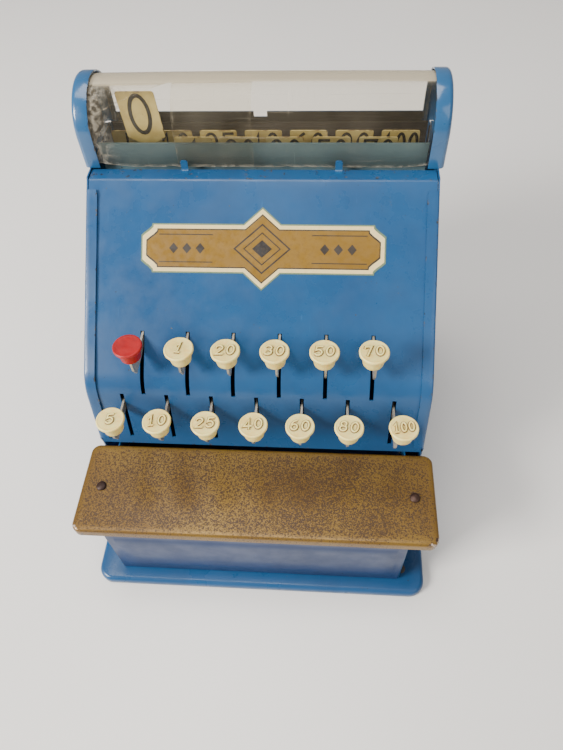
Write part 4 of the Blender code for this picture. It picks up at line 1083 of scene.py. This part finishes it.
def plaque():
    """Generic plaque on the slope: a long ticket with stepped ends and a lozenge in its middle."""
    along = (CREST - BEND).normalized()
    out = Vector((-along.y, along.x))
    mid = BEND + along * ((18.5 * MM - BEND.x) / along.x)
    cx = 1.7 * MM
    printed, thin = 0.235 * MM, 0.05 * MM

    def place(x, s, h):
        """A point on the panel: across, up the slope from the plaque's middle, and off its face."""
        p = mid + along * s + out * h
        p += out * max(0, wobble((cx + x, p.x, p.y), 22, PANEL_WAVE))
        return Vector((cx + x, p.x, p.y))

    def on_field(x, s, h):
        return place(x, s, printed + h)

    def outline(grow):
        """Points round the ticket, clockwise from the lozenge's top."""
        band, tip = 9.4 * MM + grow, 56.5 * MM + grow
        wide, high = 19 * MM + grow * 1.35, 16.6 * MM + grow * 1.35
        steps = ((5.4, 0), (5.2, 1.2), (3.4, 2.9), (1.6, 4.2), (0, 5.6))
        upper = [(0, high), (wide * (1 - band / high), band)]
        upper += [(tip - x * MM, band - s * MM) for x, s in steps] + [(tip, 0)]
        right = upper + [(x, -s) for x, s in reversed(upper[:-1])]
        return right + [(-x, s) for x, s in reversed(right[1:-1])]

    def lozenge(x, high, wide):
        return [(x * MM, high * MM), ((x + wide) * MM, 0), (x * MM, -high * MM), ((x - wide) * MM, 0)]

    # How far each layer stands out beyond the field, and its lower and upper face, in mm.
    for name, grow, low, high, material in (
            ("plaque_outline_band", 2.5, 0.03, 0.1, PLAQUE_GREEN),
            ("plaque_border_band", 1.8, 0.08, 0.16, PLAQUE_CREAM),
            ("plaque_pinstripe", 0, 0.14, 0.2, PLAQUE_DARK),
            ("plaque_field_sheet", -0.55, 0.18, 0.24, PLAQUE_GOLD)):
        bm = bmesh.new()
        slices(bm, outline(grow * MM), place, low * MM, high * MM)
        finish_mesh(name, bm, [material], "body", smooth=30)
    bm = bmesh.new()
    for s in (-6.6 * MM, 6.6 * MM):
        for x0, x1 in ((-50 * MM, -24 * MM), (24 * MM, 50 * MM)):
            ribbon(bm, [*between((x0, s), (x1, s), 8), (x1, s)], 0.22 * MM, on_field, thin, PRINTED)
    for size, half in ((11.6, 0.34 * MM), (7.6, 0.24 * MM)):
        corners = lozenge(0, size, size * 1.15)
        stroke = [p for a, b in zip(corners, corners[1:] + corners[:1]) for p in between(a, b, 6)]
        ribbon(bm, stroke + stroke[:1], half, on_field, thin, PRINTED)
    for x in (-43, -36.5, -30, 30, 36.5, 43):
        slices(bm, lozenge(x, 2.6, 2.2), place, printed, printed + thin)
    slices(bm, lozenge(0, 4.2, 4.8), place, printed, printed + thin)
    finish_mesh("plaque_ornament", bm, [PLAQUE_DARK], "body", smooth=30)


# ---------------- CAD nodes that keep their shape
def repaint(node, *materials):
    """Gives a CAD node its materials, the first of them on all its faces."""
    mesh = NODES[node].data
    mesh.materials.clear()
    for material in materials:
        mesh.materials.append(material)
    for f in mesh.polygons:
        f.material_index = 0
    return mesh


def repaint_cad():
    for node in [n for n in NODES if n.startswith("key_lever_")] + [
            "flag_guide", "key_shaft", "latch_bar", "drawer_spring", "drawer_catch", "bell", "bell_hammer"]:
        repaint(node, ZINC)
    repaint("drawer_channel", BLUE, DULL_BLUE)
    repaint("front_guard", DULL_BLUE)
    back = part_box("rear_panel")[1].y
    for f in repaint("rear_panel", BLUE, DARK).polygons:
        if f.normal.y < -0.5 and f.center.y < back - 0.2 * MM:
            f.material_index = 1


# ---------------- floor, light, camera
def stage():
    """Pale floor, soft light, and the camera fitted to the photograph."""
    bm = bmesh.new()
    bmesh.ops.create_grid(bm, x_segments=2, y_segments=2, size=3.0)
    mesh = bpy.data.meshes.new("floor")
    bm.to_mesh(mesh)
    bm.free()
    n = Nodes("floor")
    tone = n.mix(n.cloud(1.5, 3, 0.5, 0.3, 0.7), (243, 240, 235), (238, 235, 230))
    mesh.materials.append(n.finish(tone, n.cloud(9, 3, 0.5, 0.3, 0.7, 0.3, 0.38)))
    scene = bpy.context.scene
    scene.world = bpy.data.worlds.new("studio")
    scene.world.use_nodes = True
    background = scene.world.node_tree.nodes["Background"]
    background.inputs["Color"].default_value = (0.95, 0.96, 1, 1)
    background.inputs["Strength"].default_value = 0.38
    floor = bpy.data.objects.new("floor", mesh)
    scene.collection.objects.link(floor)
    middle_of_toy = Vector((0, 0, 0.08))
    for name, place, size, power, colour in (("key", (-1.2, -0.75, 0.92), 0.55, 44, (1, 0.97, 0.93)),
                                             ("fill", (0.9, -1.1, 1.2), 1, 6, (1, 0.96, 0.9)),
                                             ("top", (-0.25, 0.1, 1.7), 1, 20, (1, 0.97, 0.94))):
        data = bpy.data.lights.new(name, "AREA")
        data.energy, data.size, data.color = power, size, colour
        light = bpy.data.objects.new(name, data)
        light.location = place
        light.rotation_euler = (middle_of_toy - light.location).to_track_quat("-Z", "Y").to_euler()
        scene.collection.objects.link(light)
    data = bpy.data.cameras.new("camera")
    data.sensor_width, data.lens = 36, 29.76
    data.clip_start = 0.01
    camera = bpy.data.objects.new("camera", data)
    right = Vector((0.99740577, 0.06055564, -0.03891981))
    down = Vector((0.02560478, -0.80376158, -0.5944003))
    ahead = Vector((-0.06727654, 0.59186175, -0.80322695))
    matrix = Matrix((right, -down, -ahead)).transposed().to_4x4()
    matrix.translation = Vector((0.03259, -0.2056, 0.34489))
    camera.matrix_world = matrix
    scene.collection.objects.link(camera)
    scene.camera = camera


front_panel()
window_tabs()
for side in (-1, 1):
    side_panel(side)
    cheek(side)
film()
for key_name in KEY_NAMES:
    key_cap(key_name)
    flag(key_name)
plinth()
plinth_tabs()
shelf()
for rivet in ("shelf_rivet_left", "shelf_rivet_right"):
    shelf_rivet(rivet)
drawer_front()
drawer_tray()
plaque()
repaint_cad()
stage()
